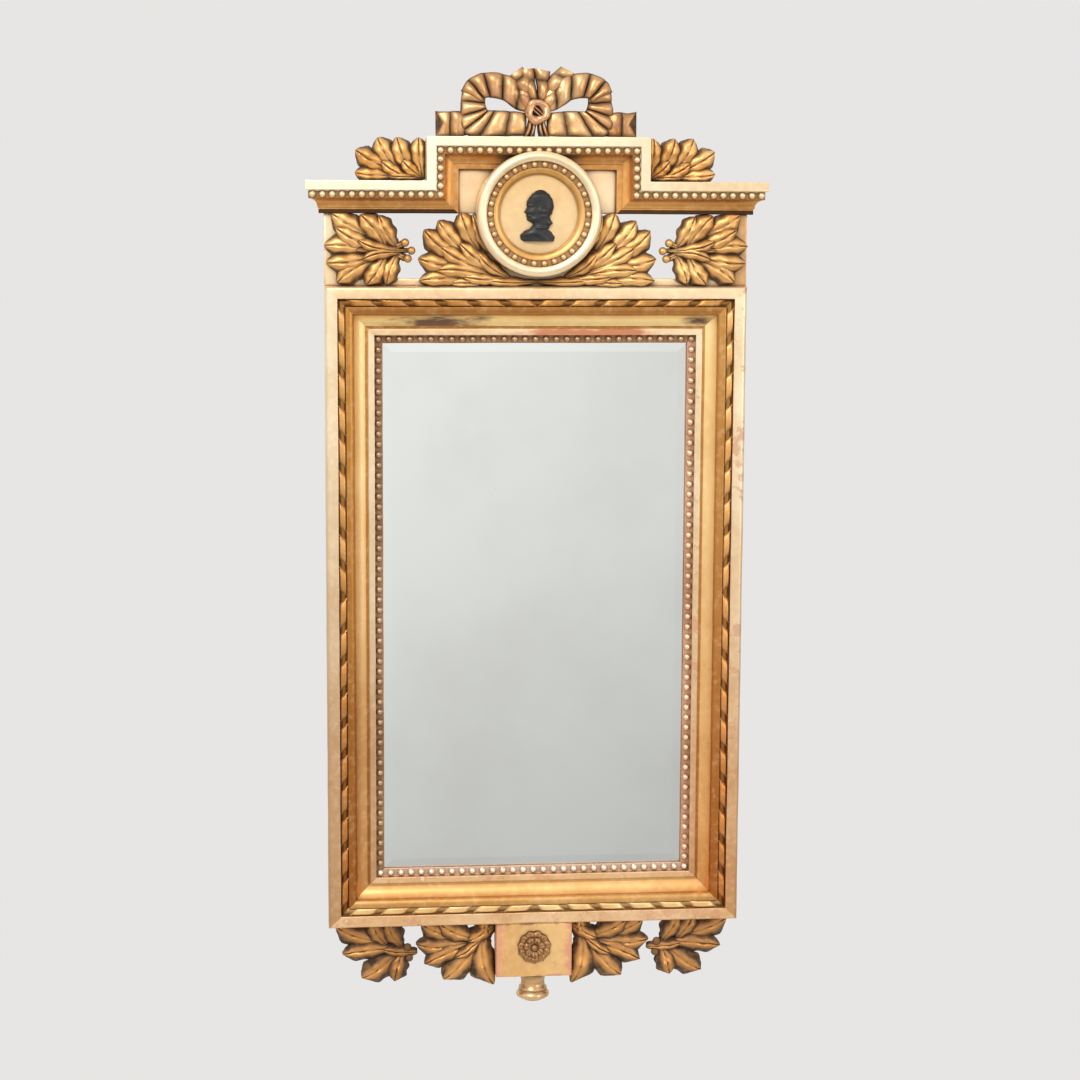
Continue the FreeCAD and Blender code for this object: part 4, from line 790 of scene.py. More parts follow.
cornice = corners((0, 0), (CORNICE_FOOT_STEP, 0), (CORNICE_FOOT_STEP, CORNICE_SHADOW_TOP),
                  (CORNICE_FOOT_STEP, CORNICE_BEAD), (CORNICE_HOLLOW_START, CORNICE_BEAD))
cornice += bowed(cornice[-1], Vector((CORNICE_HOLLOW_END, CORNICE_BED_LEVEL)), QUARTER_RISE)
cornice += corners((CORNICE_BED_STEP, CORNICE_BED_LEVEL), (CORNICE_BED_STEP, CORNICE_FILLET_LEVEL),
                   (cornice_reach, CORNICE_FILLET_LEVEL), (cornice_reach, cornice_rise), (0, cornice_rise))
cornice = softened(cornice, CORNICE_EASE)


def cornice_zone(near, far):
    """Which skin a face of the cornice has: hollow, fillet, pearl bed, painted shadow at the foot or bare
    back.
    """
    middle = (near + far) / 2
    if middle.x < CORNICE_EASE:
        return 4
    if middle.y > CORNICE_FILLET_LEVEL - CORNICE_EASE:
        return 1
    if middle.y < CORNICE_SHADOW_TOP:
        return 3
    return 2 if middle.y > CORNICE_BED_LEVEL and middle.x > CORNICE_HOLLOW_END else 0


cornice_zones = [cornice_zone(near, far) for near, far in zip(cornice, cornice[1:] + cornice[:1])]
cornice_skins = [
    gilding("cornice_gilding", tone=(0.70, 0.34, 0.10, 1), deep=(0.50, 0.22, 0.055, 1), worn=0.1, grime_and_shade=0.95),
    # Painted highlight: the fillet's cream tone stands partly for the shine of burnished gold.
    gilding("cornice_fillet", tone=CREAM_GOLD, deep=(0.99, 0.84, 0.58, 1), pale=CREAM_GOLD,
            right=(0.82, 0.61, 0.37, 1), worn=0.08, grime_and_shade=0.5),
    gilding("cornice_bed", tone=(0.42, 0.20, 0.07, 1), deep=(0.25, 0.11, 0.035, 1), worn=0.1, grime_and_shade=0.95),
    # Painted shadow: a near-black skin along the foot of the low runs, as shade under the cornice.
    gilding("cornice_foot", tone=(0.08, 0.036, 0.013, 1), deep=(0.05, 0.022, 0.008, 1),
            pale=(0.12, 0.06, 0.02, 1), worn=0.02, grime_and_shade=1.0),
    rail_pine,
]
# The risers and the raised run carry no painted shadow at the foot.
unshadowed_cornice_skins = cornice_skins[:3] + [cornice_skins[0], rail_pine]


def run_low(side):
    """Places on a low run, by the share of its length, out from its back and up from its foot."""
    return lambda share, out, up: Vector((
        side * (cornice_neck + out + (raised_neck + up - cornice_neck - out) * share),
        -cornice_back - out, cornice_foot + up))


def run_riser(side):
    """The same on a riser, which goes up from the low run to the raised one."""
    return lambda share, out, up: Vector((
        side * (raised_neck + up), -cornice_back - out,
        cornice_foot + up + (raised_foot - cornice_foot) * share))


def run_return(side):
    """The same on a return, which goes back to the wall at the side."""
    return lambda share, out, up: Vector((side * (cornice_neck + out), -cornice_back - out * share,
                                          cornice_foot + up))


def run_top(share, out, up):
    """The same on the raised run over the medallion."""
    return Vector(((raised_neck + up) * (share * 2 - 1), -cornice_back - out, raised_foot + up))


for node, place in (
    ("cornice_low_left", run_low(-1)), ("cornice_low_right", run_low(1)),
    ("cornice_riser_left", run_riser(-1)), ("cornice_riser_right", run_riser(1)),
    ("cornice_return_left", run_return(-1)), ("cornice_return_right", run_return(1)),
    ("cornice_top", run_top),
):
    length = (place(1, cornice_reach, cornice_rise) - place(0, cornice_reach, cornice_rise)).length
    stations = max(CORNICE_LEAST_STEPS, round(length / MOULDING_STEP))
    shell = Shell()
    shell.loft([[uneven(place(station / stations, spot.x, spot.y)) for spot in cornice]
                for station in range(stations + 1)], zones=cornice_zones, cap=4)
    shell.piece(f"gilt_{node}", cornice_skins if "low" in node else unshadowed_cornice_skins, [node])

pearl_rise = (CORNICE_BED_LEVEL + CORNICE_FILLET_LEVEL) / 2
pearl_out = CORNICE_BED_STEP + PEARL_SLIP


def from_corner(count):
    """Shares of a run where pearls stand: from the inner corner to half a pitch before the outer one."""
    return [1 - index / (count - 0.5) for index in range(count)]


def between_corners(count):
    """The same without the two corners, whose pearls belong to other runs."""
    return [index / count for index in range(1, count)]


def corner_to_corner(count):
    """The same with both corners."""
    return [index / count for index in range(count + 1)]


for node, place, shares in (
    ("pearls_low_left", run_low(-1), from_corner), ("pearls_low_right", run_low(1), from_corner),
    ("pearls_riser_left", run_riser(-1), between_corners),
    ("pearls_riser_right", run_riser(1), between_corners),
    ("pearls_top", run_top, corner_to_corner),
):
    start, end = place(0, pearl_out, pearl_rise), place(1, pearl_out, pearl_rise)
    shell = Shell()
    for share in shares(pearl_count((end - start).length, CORNICE_PEARL_PITCH)):
        add_pearl(shell, start.lerp(end, share), CORNICE_PEARL_RADIUS)
    shell.piece(f"carved_{node}", [pearl_skin], [node])


# Medallion: a turned ring with a round band, a bed of pearls and a sloping inner band, glued on the tablet
# over a plain gilt disc. The ring's crown is burnished and worn to cream, the disc is a matt pale gold.

MEDALLION_SIDES = 96
RING_BAND_END, RING_BAND_LIP = 0.0515, 0.001
RING_BAND_FOOT, RING_BAND_ROUND = 0.055, 0.9
RING_BED_LEVEL = 0.053
RING_BED_END = 0.0449
RING_INNER_TOP = 0.0545
RING_INNER_END, RING_INNER_FOOT, RING_INNER_ROUND = 0.0385, 0.0505, 0.8
DISC_DISH, DISC_DISH_START, DISC_DISH_END, DISC_CENTRE = 0.0006, 0.9, 0.6, 0.3
RING_PEARL_RADIUS = 0.0031
RING_PEARLS = 30

ring_low, ring_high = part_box("medallion_ring")
disc_low, disc_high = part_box("medallion_disc")
ring_radius = ring_high.x
ring_front, ring_back = -ring_low.y, -ring_high.y
medallion_middle = Vector((0, 0, (ring_low.z + ring_high.z) / 2))


def add_turned(shell, profile, middle, sides, whole=False, zones=None):
    """A shape turned round a line to the front; profile points are radius and distance from the wall."""
    rows = [
        [middle + Vector((spot.x * math.cos(turn), -spot.y, spot.x * math.sin(turn)))
         for turn in turns(sides)]
        for spot in profile
    ]
    first = len(shell.zones)
    shell.loft(rows + rows[:1] if whole else rows, capped=not whole)
    if zones:
        shell.zones[first:first + len(zones) * sides] = [zone for zone in zones for side in range(sides)]


band_rise = (ring_front - RING_BAND_FOOT) / (ring_radius - RING_BAND_END) * RING_BAND_ROUND
ring = corners((ring_radius, ring_back), (ring_radius, RING_BAND_FOOT))
ring += bowed(ring[-1], Vector((RING_BAND_END, RING_BAND_FOOT + RING_BAND_LIP)), -band_rise, CURVE_STEPS * 2)
band_points = len(ring)
ring += corners((RING_BAND_END, RING_BED_LEVEL), (RING_BED_END, RING_BED_LEVEL))
bed_points = len(ring)
ring += corners((RING_BED_END, RING_INNER_TOP))
ring += bowed(ring[-1], Vector((RING_INNER_END, RING_INNER_FOOT)), -QUARTER_RISE * RING_INNER_ROUND)
ring += corners((RING_INNER_END, -disc_low.y), (RING_INNER_END, ring_back))
ring_zones = [0 if point < band_points else 1 if point < bed_points else 2 for point in range(len(ring))]
shell = Shell()
add_turned(shell, ring, medallion_middle, MEDALLION_SIDES, whole=True, zones=ring_zones)
shell.piece("turned_medallion_ring", [
    gilding("medallion_band", tone=(0.98, 0.80, 0.54, 1), deep=(0.93, 0.72, 0.45, 1), pale=CREAM_GOLD,
            worn=0.06),
    gilding("medallion_bed", tone=(0.58, 0.32, 0.14, 1), deep=(0.42, 0.21, 0.08, 1), worn=0.1, grime_and_shade=0.6),
    gilding("medallion_inner", tone=(0.80, 0.46, 0.17, 1), worn=0.1, grime_and_shade=0.9),
], ["medallion_ring"], crease=50)

shell = Shell()
pearl_circle = (RING_BAND_END + RING_BED_END) / 2
for turn in turns(RING_PEARLS):
    add_pearl(shell, medallion_middle + Vector((pearl_circle * math.cos(turn), -RING_BED_LEVEL - PEARL_SLIP,
                                                pearl_circle * math.sin(turn))), RING_PEARL_RADIUS)
shell.piece("carved_medallion_pearls", [
    gilding("medallion_pearl_gilding", tone=(0.90, 0.60, 0.31, 1), deep=(0.76, 0.46, 0.21, 1), worn=0.15,
            grime_and_shade=0.6),
], ["medallion_pearls"])

disc_radius, disc_front = disc_high.x, -disc_low.y
shell = Shell()
add_turned(shell, corners((disc_radius, -disc_high.y), (disc_radius, disc_front - DISC_DISH),
                          (disc_radius * DISC_DISH_START, disc_front - DISC_DISH),
                          (disc_radius * DISC_DISH_END, disc_front), (disc_radius * DISC_CENTRE, disc_front)),
           medallion_middle, MEDALLION_SIDES)
shell.piece("gilt_medallion_disc", [
    gilding("disc_gilding", tone=(0.86, 0.63, 0.35, 1), deep=(0.76, 0.51, 0.25, 1), worn=0.1, gloss=0.46),
], ["medallion_disc"], crease=50)


# Portrait bust: a plain head in profile, of a general kind, with full hair tied behind and a draped shoulder.
# Cast or carved in low relief, patinated nearly black and pinned on the gilt disc.

FACE_SIDE = (
    # share of the height, share of the width, up the front of the bust
    (0.0, 0.10), (0.05, 0.03), (0.12, 0.02), (0.19, 0.12), (0.26, 0.30), (0.32, 0.37), (0.365, 0.35),
    (0.39, 0.25), (0.425, 0.20), (0.46, 0.205), (0.49, 0.185), (0.52, 0.19), (0.545, 0.165), (0.57, 0.125),
    (0.61, 0.165), (0.66, 0.205), (0.70, 0.19), (0.77, 0.20), (0.84, 0.25), (0.91, 0.33), (0.97, 0.43),
    (1.0, 0.52),
)
HAIR_SIDE = (
    # the same up the back of the hair
    (0.0, 0.95), (0.08, 0.98), (0.17, 0.90), (0.23, 0.80), (0.29, 0.84), (0.36, 0.92), (0.42, 0.86),
    (0.48, 0.84), (0.56, 0.91), (0.68, 0.95), (0.80, 0.92), (0.90, 0.84), (0.97, 0.73), (1.0, 0.64),
)
BUST_FORMS = (
    # middle across, middle up, reach across, reach up, height: two rolled curls, brow, eye socket, eye,
    # cheek, jaw, mouth, ear, hair behind, hair on top, tie, collar, drape
    (0.68, 0.58, 0.09, 0.03, 0.12), (0.68, 0.49, 0.09, 0.03, 0.12),
    (0.25, 0.695, 0.10, 0.02, 0.05), (0.275, 0.655, 0.05, 0.02, -0.09), (0.275, 0.652, 0.028, 0.01, 0.07),
    (0.32, 0.58, 0.09, 0.05, 0.07), (0.42, 0.44, 0.14, 0.035, 0.07), (0.25, 0.50, 0.05, 0.012, 0.05),
    (0.56, 0.60, 0.04, 0.05, 0.12), (0.74, 0.70, 0.17, 0.22, 0.16), (0.48, 0.86, 0.22, 0.10, 0.12),
    (0.86, 0.36, 0.07, 0.07, 0.18), (0.55, 0.27, 0.20, 0.025, 0.14), (0.35, 0.16, 0.28, 0.05, 0.14),
)
RELIEF_SHARE, RELIEF_SHOULDER, RELIEF_EDGE, RELIEF_LEAST = 0.62, 2.6, 0.985, 0.02
TOP_FALL, TOP_LEAST = 8, 0.2
COLLAR_TOP = 0.31
HAIR_START, HAIR_FADE = 0.42, 9
TEMPLE_TOP, TEMPLE_LEAN = 0.86, 0.55
CROWN_START, CROWN_LEAN = 0.8, 0.3
HAIR_WAVE, HAIR_LOCKS, HAIR_SWEEP, HAIR_TURN = 0.010, 84, 0.5, 5
DRAPE_WAVE, DRAPE_FOLDS, DRAPE_UP, DRAPE_ACROSS, DRAPE_HEM = 0.025, 34, 0.9, 0.55, 12
PATINA_DARK, PATINA_LIGHT = (0.006, 0.006, 0.007, 1), (0.013, 0.013, 0.014, 1)
PATINA_RUBBED_HIGHLIGHT, PATINA_HIGHLIGHT_SHOW = (0.05, 0.046, 0.044, 1), (0.5, 0.6)
PATINA_CLOUD, PATINA_ROUGHNESS, PATINA_BUMP = (160, 5), (0.3, 0.7, 0.36, 0.55), (0.2, 0.0006)
BUST_ROWS = 90
BUST_COLUMNS = 44

bust_low, bust_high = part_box("portrait_bust")
bust_wide, bust_tall = bust_high.x - bust_low.x, bust_high.z - bust_low.z
bust_relief = bust_high.y - bust_low.y


def read_off(table, at):
    """The value at one place of a table of pairs, eased between its entries."""
    for (near, near_value), (far, far_value) in zip(table, table[1:]):
        if at <= far:
            share = max(0, (at - near) / (far - near))
            return near_value + (far_value - near_value) * share * share * (3 - 2 * share)
    return table[-1][1]


def bust_height(across, up, span):
    """Height of the relief at a place on the bust, as a share of its greatest height."""
    height = RELIEF_SHARE * math.sqrt(max(0, 1 - abs(span) ** RELIEF_SHOULDER))
    for middle, level, wide, tall, lift in BUST_FORMS:
        height += lift * math.exp(-((across - middle) / wide) ** 2 - ((up - level) / tall) ** 2)
    hairline = HAIR_START - TEMPLE_LEAN * max(0, TEMPLE_TOP - up) + CROWN_LEAN * max(0, up - CROWN_START)
    hairy = min(1, max(0, (across - hairline) * HAIR_FADE))
    if up > COLLAR_TOP:
        lock = HAIR_LOCKS * (up + HAIR_SWEEP * across * across) + HAIR_TURN * across
        height += hairy * HAIR_WAVE * math.sin(lock)
    else:
        fold = DRAPE_FOLDS * (up * DRAPE_UP + across * DRAPE_ACROSS)
        height += DRAPE_WAVE * math.sin(fold) * min(1, up * DRAPE_HEM)
    return max(RELIEF_LEAST, height)


shell = Shell()
rows = []
for row in range(BUST_ROWS + 1):
    up = row / BUST_ROWS
    near, far = read_off(FACE_SIDE, up), read_off(HAIR_SIDE, up)
    ring = []
    for column in range(BUST_COLUMNS + 1):
        span = column / BUST_COLUMNS * 2 - 1
        across = (near + far) / 2 + (far - near) / 2 * span
        lift = min(1, bust_height(across, up, span * RELIEF_EDGE)) * min(1, TOP_FALL * (1 - up) + TOP_LEAST)
        ring.append(Vector((bust_low.x + bust_wide * across, bust_high.y - bust_relief * lift,
                            bust_low.z + bust_tall * up)))
    ring.append(Vector((ring[-1].x, bust_high.y, ring[-1].z)))
    ring.append(Vector((ring[0].x, bust_high.y, ring[0].z)))
    rows.append(ring)
shell.loft(rows)
patina = Shader("dark_patina")
patina_cloud = patina.cloud(*PATINA_CLOUD)
# Painted highlight: sharp high points of the relief get a lighter patina, partly as rubbing.
patina_high = patina.fade(patina.add("ShaderNodeNewGeometry").outputs["Pointiness"], *PATINA_HIGHLIGHT_SHOW)
patina_colour = patina.mix(patina_cloud, PATINA_DARK, PATINA_LIGHT)
patina.set(Base_Color=patina.mix(patina_high, patina_colour, PATINA_RUBBED_HIGHLIGHT))
patina.set(Roughness=patina.fade(patina_cloud, *PATINA_ROUGHNESS))
patina.set(Normal=patina.bump(patina_cloud, *PATINA_BUMP))
shell.piece("relief_portrait_bust", [patina.material], ["portrait_bust"], crease=60)


# Leaf sprays: limewood carvings of laurel fanned from a stem, deeply undercut, flat at the back and glued on.
# Gilding is bright on the crowns and brown between the leaves, with old dirt and painted shade; the lower
# sprays are darker.

LEAF_OUTLINE = (
    # share of the length, share of the width
    (0.0, 0.34), (0.16, 0.58), (0.36, 0.92), (0.58, 1.0), (0.76, 0.90), (0.90, 0.62), (0.97, 0.32),
    (1.0, 0.08),
)
LEAF_SWELL = (
    # share of the length, share of the height
    (0.0, 0.48), (0.3, 0.72), (0.62, 1.0), (0.85, 0.94), (1.0, 0.60),
)
LEAF_EDGE, LEAF_ROUND = 0.40, 0.98
LEAF_ROWS = 16
LEAF_COLUMNS = 12
LEAF_SKIRT, LEAF_SKIRT_LIFT, LEAF_UNDERCUT = 1.34, 0.2, 0.9
RIB_WIDTH, RIB_DEPTH = 0.14, 0.16
LOBES, LOBE_DEPTH = 3.0, 0.09
VEINS, VEIN_DEPTH, VEIN_LEAN = 3.5, 0.05, 0.16
CARVED_REACH, CARVED_WAVE = 0.0005, 0.014
LEAF_FULLNESS = 1.06
# Shares across a leaf where dirt and painted shade start at the edges and where they are full.
LEAF_SHADE_START, LEAF_SHADE_FULL = 0.7, 1.0
LOW_LEAF_SHADE_START, LOW_LEAF_SHADE_FULL = 0.22, 0.75
LOW_BERRY_DIRT_AND_SHADE = 0.8
LEAF_REACH, LEAF_HOLLOWS = 0.005, (0.96, 0.58)
LEAF_ZONES = [0] * (LEAF_COLUMNS + 2) + [1, 0, 0]
FOOT_SHARE, FOOT_DIRT_AND_SHADE, RIB_DIRT_AND_SHADE = 0.34, 0.85, 0.6
LEAF_RELIEF = 0.013
BERRY_RADIUS = 0.0042
BERRY_LIFT = 0.45

limewood = bare_wood("bare_limewood", light=(0.40, 0.27, 0.15, 1), dark=(0.24, 0.14, 0.07, 1))
leaf_skin = gilding("leaf_gilding", tone=(0.88, 0.51, 0.19, 1), deep=(0.66, 0.33, 0.10, 1), worn=0.18,
                    grime_and_shade=0.94, gloss=0.44, reach=LEAF_REACH, hollows=LEAF_HOLLOWS)
low_leaf_skin = gilding("lower_leaf_gilding", tone=(0.82, 0.40, 0.125, 1), deep=(0.46, 0.20, 0.055, 1),
                        pale=(0.94, 0.58, 0.25, 1), right=(0.58, 0.265, 0.08, 1), worn=0.14, grime_and_shade=1.0,
                        gloss=0.36, reach=LEAF_REACH, hollows=LEAF_HOLLOWS)


def leaf_rows(base, tip, wide, rise, bend):
    """Rows of one leaf along its length; x and y lie in the spray's back plane and z is the height off it."""
    axis = tip - base
    side = Vector((-axis.y, axis.x))
    unit = side.normalized()
    rows = []
    for row in range(LEAF_ROWS + 1):
        along = row / LEAF_ROWS
        middle = base + axis * along + side * (4 * bend * along * (1 - along))
        lobe = 1 + LOBE_DEPTH * math.sin(math.tau * LOBES * along) * min(1, 4 * along)
        half = wide / 2 * read_off(LEAF_OUTLINE, along) * lobe
        swell = rise * read_off(LEAF_SWELL, along)
        ring = []
        for column in range(LEAF_COLUMNS + 1):
            across = column / LEAF_COLUMNS * 2 - 1
            crown = LEAF_EDGE + (1 - LEAF_EDGE) * math.sqrt(max(0, 1 - across ** 2 * LEAF_ROUND))
            crown -= RIB_DEPTH * math.exp(-(across / RIB_WIDTH) ** 2)
            vein = math.cos(math.tau * VEINS * (along - VEIN_LEAN * abs(across)))
            crown += VEIN_DEPTH * vein * 4 * abs(across) * (1 - abs(across))
            spot = middle + unit * (half * across)
            ring.append(Vector((spot.x, spot.y, swell * crown)))
        for reach, lift in ((LEAF_SKIRT, LEAF_SKIRT_LIFT), (LEAF_UNDERCUT, 0), (-LEAF_UNDERCUT, 0),
                            (-LEAF_SKIRT, LEAF_SKIRT_LIFT)):
            spot = middle + unit * (half * reach)
            ring.append(Vector((spot.x, spot.y, swell * lift)))
        rows.append(ring)
    return rows


def leaf_dirt_and_shade(shade_start=LEAF_SHADE_START, shade_full=LEAF_SHADE_FULL):
    """How much dirt and painted shade each point of a leaf has: foot, rib, skirt, and edges from none to
    full.
    """
    rows = []
    for row in range(LEAF_ROWS + 1):
        along = row / LEAF_ROWS
        foot_shade = FOOT_DIRT_AND_SHADE * max(0, 1 - along / FOOT_SHARE)
        ring = []
        for column in range(LEAF_COLUMNS + 1):
            across = abs(column / LEAF_COLUMNS * 2 - 1)
            edge = min(1, max(0, (across - shade_start) / (shade_full - shade_start)))
            ring.append(max(foot_shade, edge, RIB_DIRT_AND_SHADE * (1 - along) * math.exp(-(across / RIB_WIDTH) ** 2)))
        rows.append(ring + [1] * 4)
    return rows


def spray_pair(node, skin, corner, wide, tall, back, leaves, keep, berries=(), dirt_and_shade=leaf_dirt_and_shade(),
               berry_dirt_and_shade=0):
    """A spray at the left and its mirror image at the right; keep is the box of x and z that it may fill."""
    for side, hand in ((1, "left"), (-1, "right")):
        shell = Shell()

        def place(spot):
            x = min(max(corner.x + spot.x, keep[0]), keep[2])
            z = min(max(corner.y + spot.y, keep[1]), keep[3])
            return uneven(Vector((x * side, -back - spot.z, z)), CARVED_REACH, CARVED_WAVE)

        for base_x, base_z, tip_x, tip_z, width, relief, bend in leaves:
            base, tip = Vector((wide * base_x, tall * base_z)), Vector((wide * tip_x, tall * tip_z))
            rows = leaf_rows(base, tip, tall * width * LEAF_FULLNESS, LEAF_RELIEF * relief, bend)
            shell.loft([[place(spot) for spot in ring] for ring in rows], zones=LEAF_ZONES, dirt_and_shade=dirt_and_shade)
        for x, z in berries:
            spot = Vector((corner.x + wide * x, corner.y + tall * z))
            add_pearl(shell, Vector((spot.x * side, -back - LEAF_RELIEF * BERRY_LIFT, spot.y)), BERRY_RADIUS,
                      crown_dirt_and_shade=berry_dirt_and_shade)
        shell.piece(f"carved_{node}_{hand}", [skin, limewood], [f"{node}_{hand}"], crease=70)


FRIEZE_SPRAY_WIDTH = 0.088
FRIEZE_BERRIES = ((0.90, 0.60), (0.97, 0.49), (0.93, 0.38))
FRIEZE_LEAVES = (
    # base across, base up, tip across, tip up, width, relief, bend
    (1.00, 0.49, 0.30, 0.50, 0.09, 0.72, 0.00), (0.76, 0.52, 0.91, 0.60, 0.08, 0.50, 0.00),
    (0.76, 0.46, 0.94, 0.37, 0.08, 0.50, 0.00), (0.80, 0.55, 0.61, 0.97, 0.22, 0.78, 0.06),
    (0.68, 0.54, 0.40, 0.98, 0.25, 0.90, -0.06), (0.48, 0.73, 0.09, 1.00, 0.25, 0.76, 0.05),
    (0.56, 0.54, 0.13, 0.80, 0.23, 0.94, 0.06), (0.50, 0.49, 0.00, 0.56, 0.22, 0.80, -0.05),
    (0.54, 0.41, 0.02, 0.32, 0.22, 0.94, 0.05), (0.56, 0.37, 0.14, 0.05, 0.25, 0.78, -0.06),
    (0.67, 0.42, 0.47, 0.02, 0.24, 0.92, 0.05), (0.81, 0.43, 0.69, 0.02, 0.20, 0.76, -0.05),
    (0.84, 0.50, 0.36, 0.64, 0.16, 1.00, 0.08), (0.84, 0.46, 0.41, 0.36, 0.16, 1.00, -0.08),
)
WREATH_SPRAY_WIDTH = 0.118
WREATH_LEAVES = (
    (1.00, 0.06, 0.52, 0.09, 0.12, 0.70, 0.03), (0.46, 0.10, 0.01, 0.08, 0.22, 0.80, -0.03),
    (0.42, 0.26, 0.00, 0.38, 0.25, 0.84, 0.05), (0.36, 0.36, 0.05, 0.77, 0.24, 0.92, 0.06),
    (0.42, 0.44, 0.17, 0.90, 0.25, 0.80, 0.06), (0.50, 0.50, 0.35, 1.03, 0.23, 0.90, 0.05),
    (0.58, 0.22, 0.17, 0.56, 0.23, 1.00, 0.06), (0.60, 0.14, 0.14, 0.22, 0.22, 0.98, -0.05),
    (0.64, 0.22, 0.34, 0.60, 0.21, 0.96, 0.05), (0.72, 0.10, 0.36, 0.14, 0.16, 0.88, 0.04),
    (0.76, 0.12, 0.48, 0.48, 0.16, 0.86, 0.08), (0.60, 0.06, 0.26, 0.04, 0.16, 0.74, 0.00),
    (0.60, 0.48, 0.46, 0.99, 0.22, 0.66, 0.04),
)
crest_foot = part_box("frieze_post_left")[0].z
frieze_tall = cornice_foot - crest_foot
frieze_back = -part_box("frieze_post_left")[0].y
frieze_space = (-half_width, crest_foot, 0, cornice_foot)
spray_pair("frieze_spray", leaf_skin, Vector((-half_width, crest_foot)), FRIEZE_SPRAY_WIDTH, frieze_tall,
           frieze_back, FRIEZE_LEAVES, frieze_space, FRIEZE_BERRIES)
spray_pair("wreath_spray", leaf_skin, Vector((-WREATH_SPRAY_WIDTH, crest_foot)), WREATH_SPRAY_WIDTH,
           frieze_tall, frieze_back, WREATH_LEAVES, frieze_space)

CORNICE_SPRAY_WIDTH, CORNICE_SPRAY_HEIGHT = 0.069, 0.043
CORNICE_LEAVES = (
    (1.00, 0.08, 0.44, 0.10, 0.22, 0.70, 0.00), (0.56, 0.14, 0.00, 0.17, 0.36, 0.82, 0.05),
    (0.50, 0.26, 0.01, 0.69, 0.38, 0.98, 0.05), (0.60, 0.22, 0.32, 0.97, 0.40, 0.84, 0.05),
    (0.80, 0.18, 0.59, 0.98, 0.40, 0.98, 0.04), (0.96, 0.08, 0.90, 0.98, 0.38, 0.86, 0.03),
    (0.76, 0.08, 0.36, 0.44, 0.28, 1.00, 0.06), (0.94, 0.08, 0.66, 0.48, 0.28, 1.00, 0.05),
)
cornice_top_level = low_box[1].z
step_face = top_box[0].x
cornice_spray_back = -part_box("cornice_spray_left")[1].y
spray_pair("cornice_spray", leaf_skin, Vector((step_face - CORNICE_SPRAY_WIDTH, cornice_top_level)),
           CORNICE_SPRAY_WIDTH, CORNICE_SPRAY_HEIGHT, cornice_spray_back, CORNICE_LEAVES,
           (-half_width, cornice_top_level, step_face, top_box[1].z))

LOWER_SPRAY_HEIGHT = 0.071
INNER_SPRAY_WIDTH, OUTER_SPRAY_WIDTH, SPRAY_OVERLAP = 0.080, 0.086, 0.002
OUTER_BERRIES = ((0.88, 0.62), (0.90, 0.46))
OUTER_LEAVES = (
    (1.02, 0.54, 0.56, 0.60, 0.16, 0.80, 0.04), (0.58, 0.70, 0.02, 0.96, 0.28, 0.86, 0.05),
    (0.62, 0.66, 0.44, 1.03, 0.27, 0.98, 0.04), (0.80, 0.62, 0.62, 1.02, 0.26, 0.84, 0.04),
    (0.72, 0.58, 0.10, 0.54, 0.24, 0.96, -0.05), (0.76, 0.54, 0.33, 0.17, 0.28, 0.84, 0.05),
    (0.82, 0.54, 0.72, 0.12, 0.25, 0.94, -0.04),
)
INNER_LEAVES = (
    (1.02, 0.90, 0.64, 0.68, 0.22, 0.78, 0.00), (0.88, 1.02, 0.84, 0.72, 0.20, 0.66, 0.00),
    (0.52, 0.74, 0.05, 0.97, 0.28, 0.80, 0.05), (0.72, 0.72, 0.27, 0.98, 0.29, 0.96, 0.05),
    (0.64, 0.64, -0.02, 0.66, 0.26, 0.88, 0.05), (0.68, 0.62, 0.09, 0.36, 0.26, 0.98, -0.05),
    (0.76, 0.66, 0.33, 0.12, 0.30, 0.86, 0.05), (0.86, 0.74, 0.98, 0.03, 0.34, 0.94, -0.12),
    (0.84, 0.74, 0.46, 0.46, 0.17, 1.00, 0.06),
)
lower_tablet_low, lower_tablet_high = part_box("lower_tablet")
lower_spray_back = -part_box("lower_inner_spray_left")[1].y
lower_foot = -half_height - LOWER_SPRAY_HEIGHT
inner_start = lower_tablet_low.x - INNER_SPRAY_WIDTH
low_leaf_dirt_and_shade = leaf_dirt_and_shade(LOW_LEAF_SHADE_START, LOW_LEAF_SHADE_FULL)
spray_pair("lower_outer_spray", low_leaf_skin, Vector((inner_start - OUTER_SPRAY_WIDTH, lower_foot)),
           OUTER_SPRAY_WIDTH, LOWER_SPRAY_HEIGHT, lower_spray_back, OUTER_LEAVES,
           (-half_width, lower_foot, inner_start, -half_height), OUTER_BERRIES, low_leaf_dirt_and_shade, LOW_BERRY_DIRT_AND_SHADE)
spray_pair("lower_inner_spray", low_leaf_skin, Vector((inner_start, lower_foot)), INNER_SPRAY_WIDTH,
           LOWER_SPRAY_HEIGHT, lower_spray_back, INNER_LEAVES,
           (inner_start - SPRAY_OVERLAP, lower_foot - SPRAY_OVERLAP, lower_tablet_low.x, -half_height),
           dirt_and_shade=low_leaf_dirt_and_shade)


# Ribbon bow: two loops of pleated ribbon, two forked ends, a twisted knot and a crumpled tuft, carved in
# limewood and dowelled on top of the raised cornice. Its gilding is coppery, with bole showing on the folds.

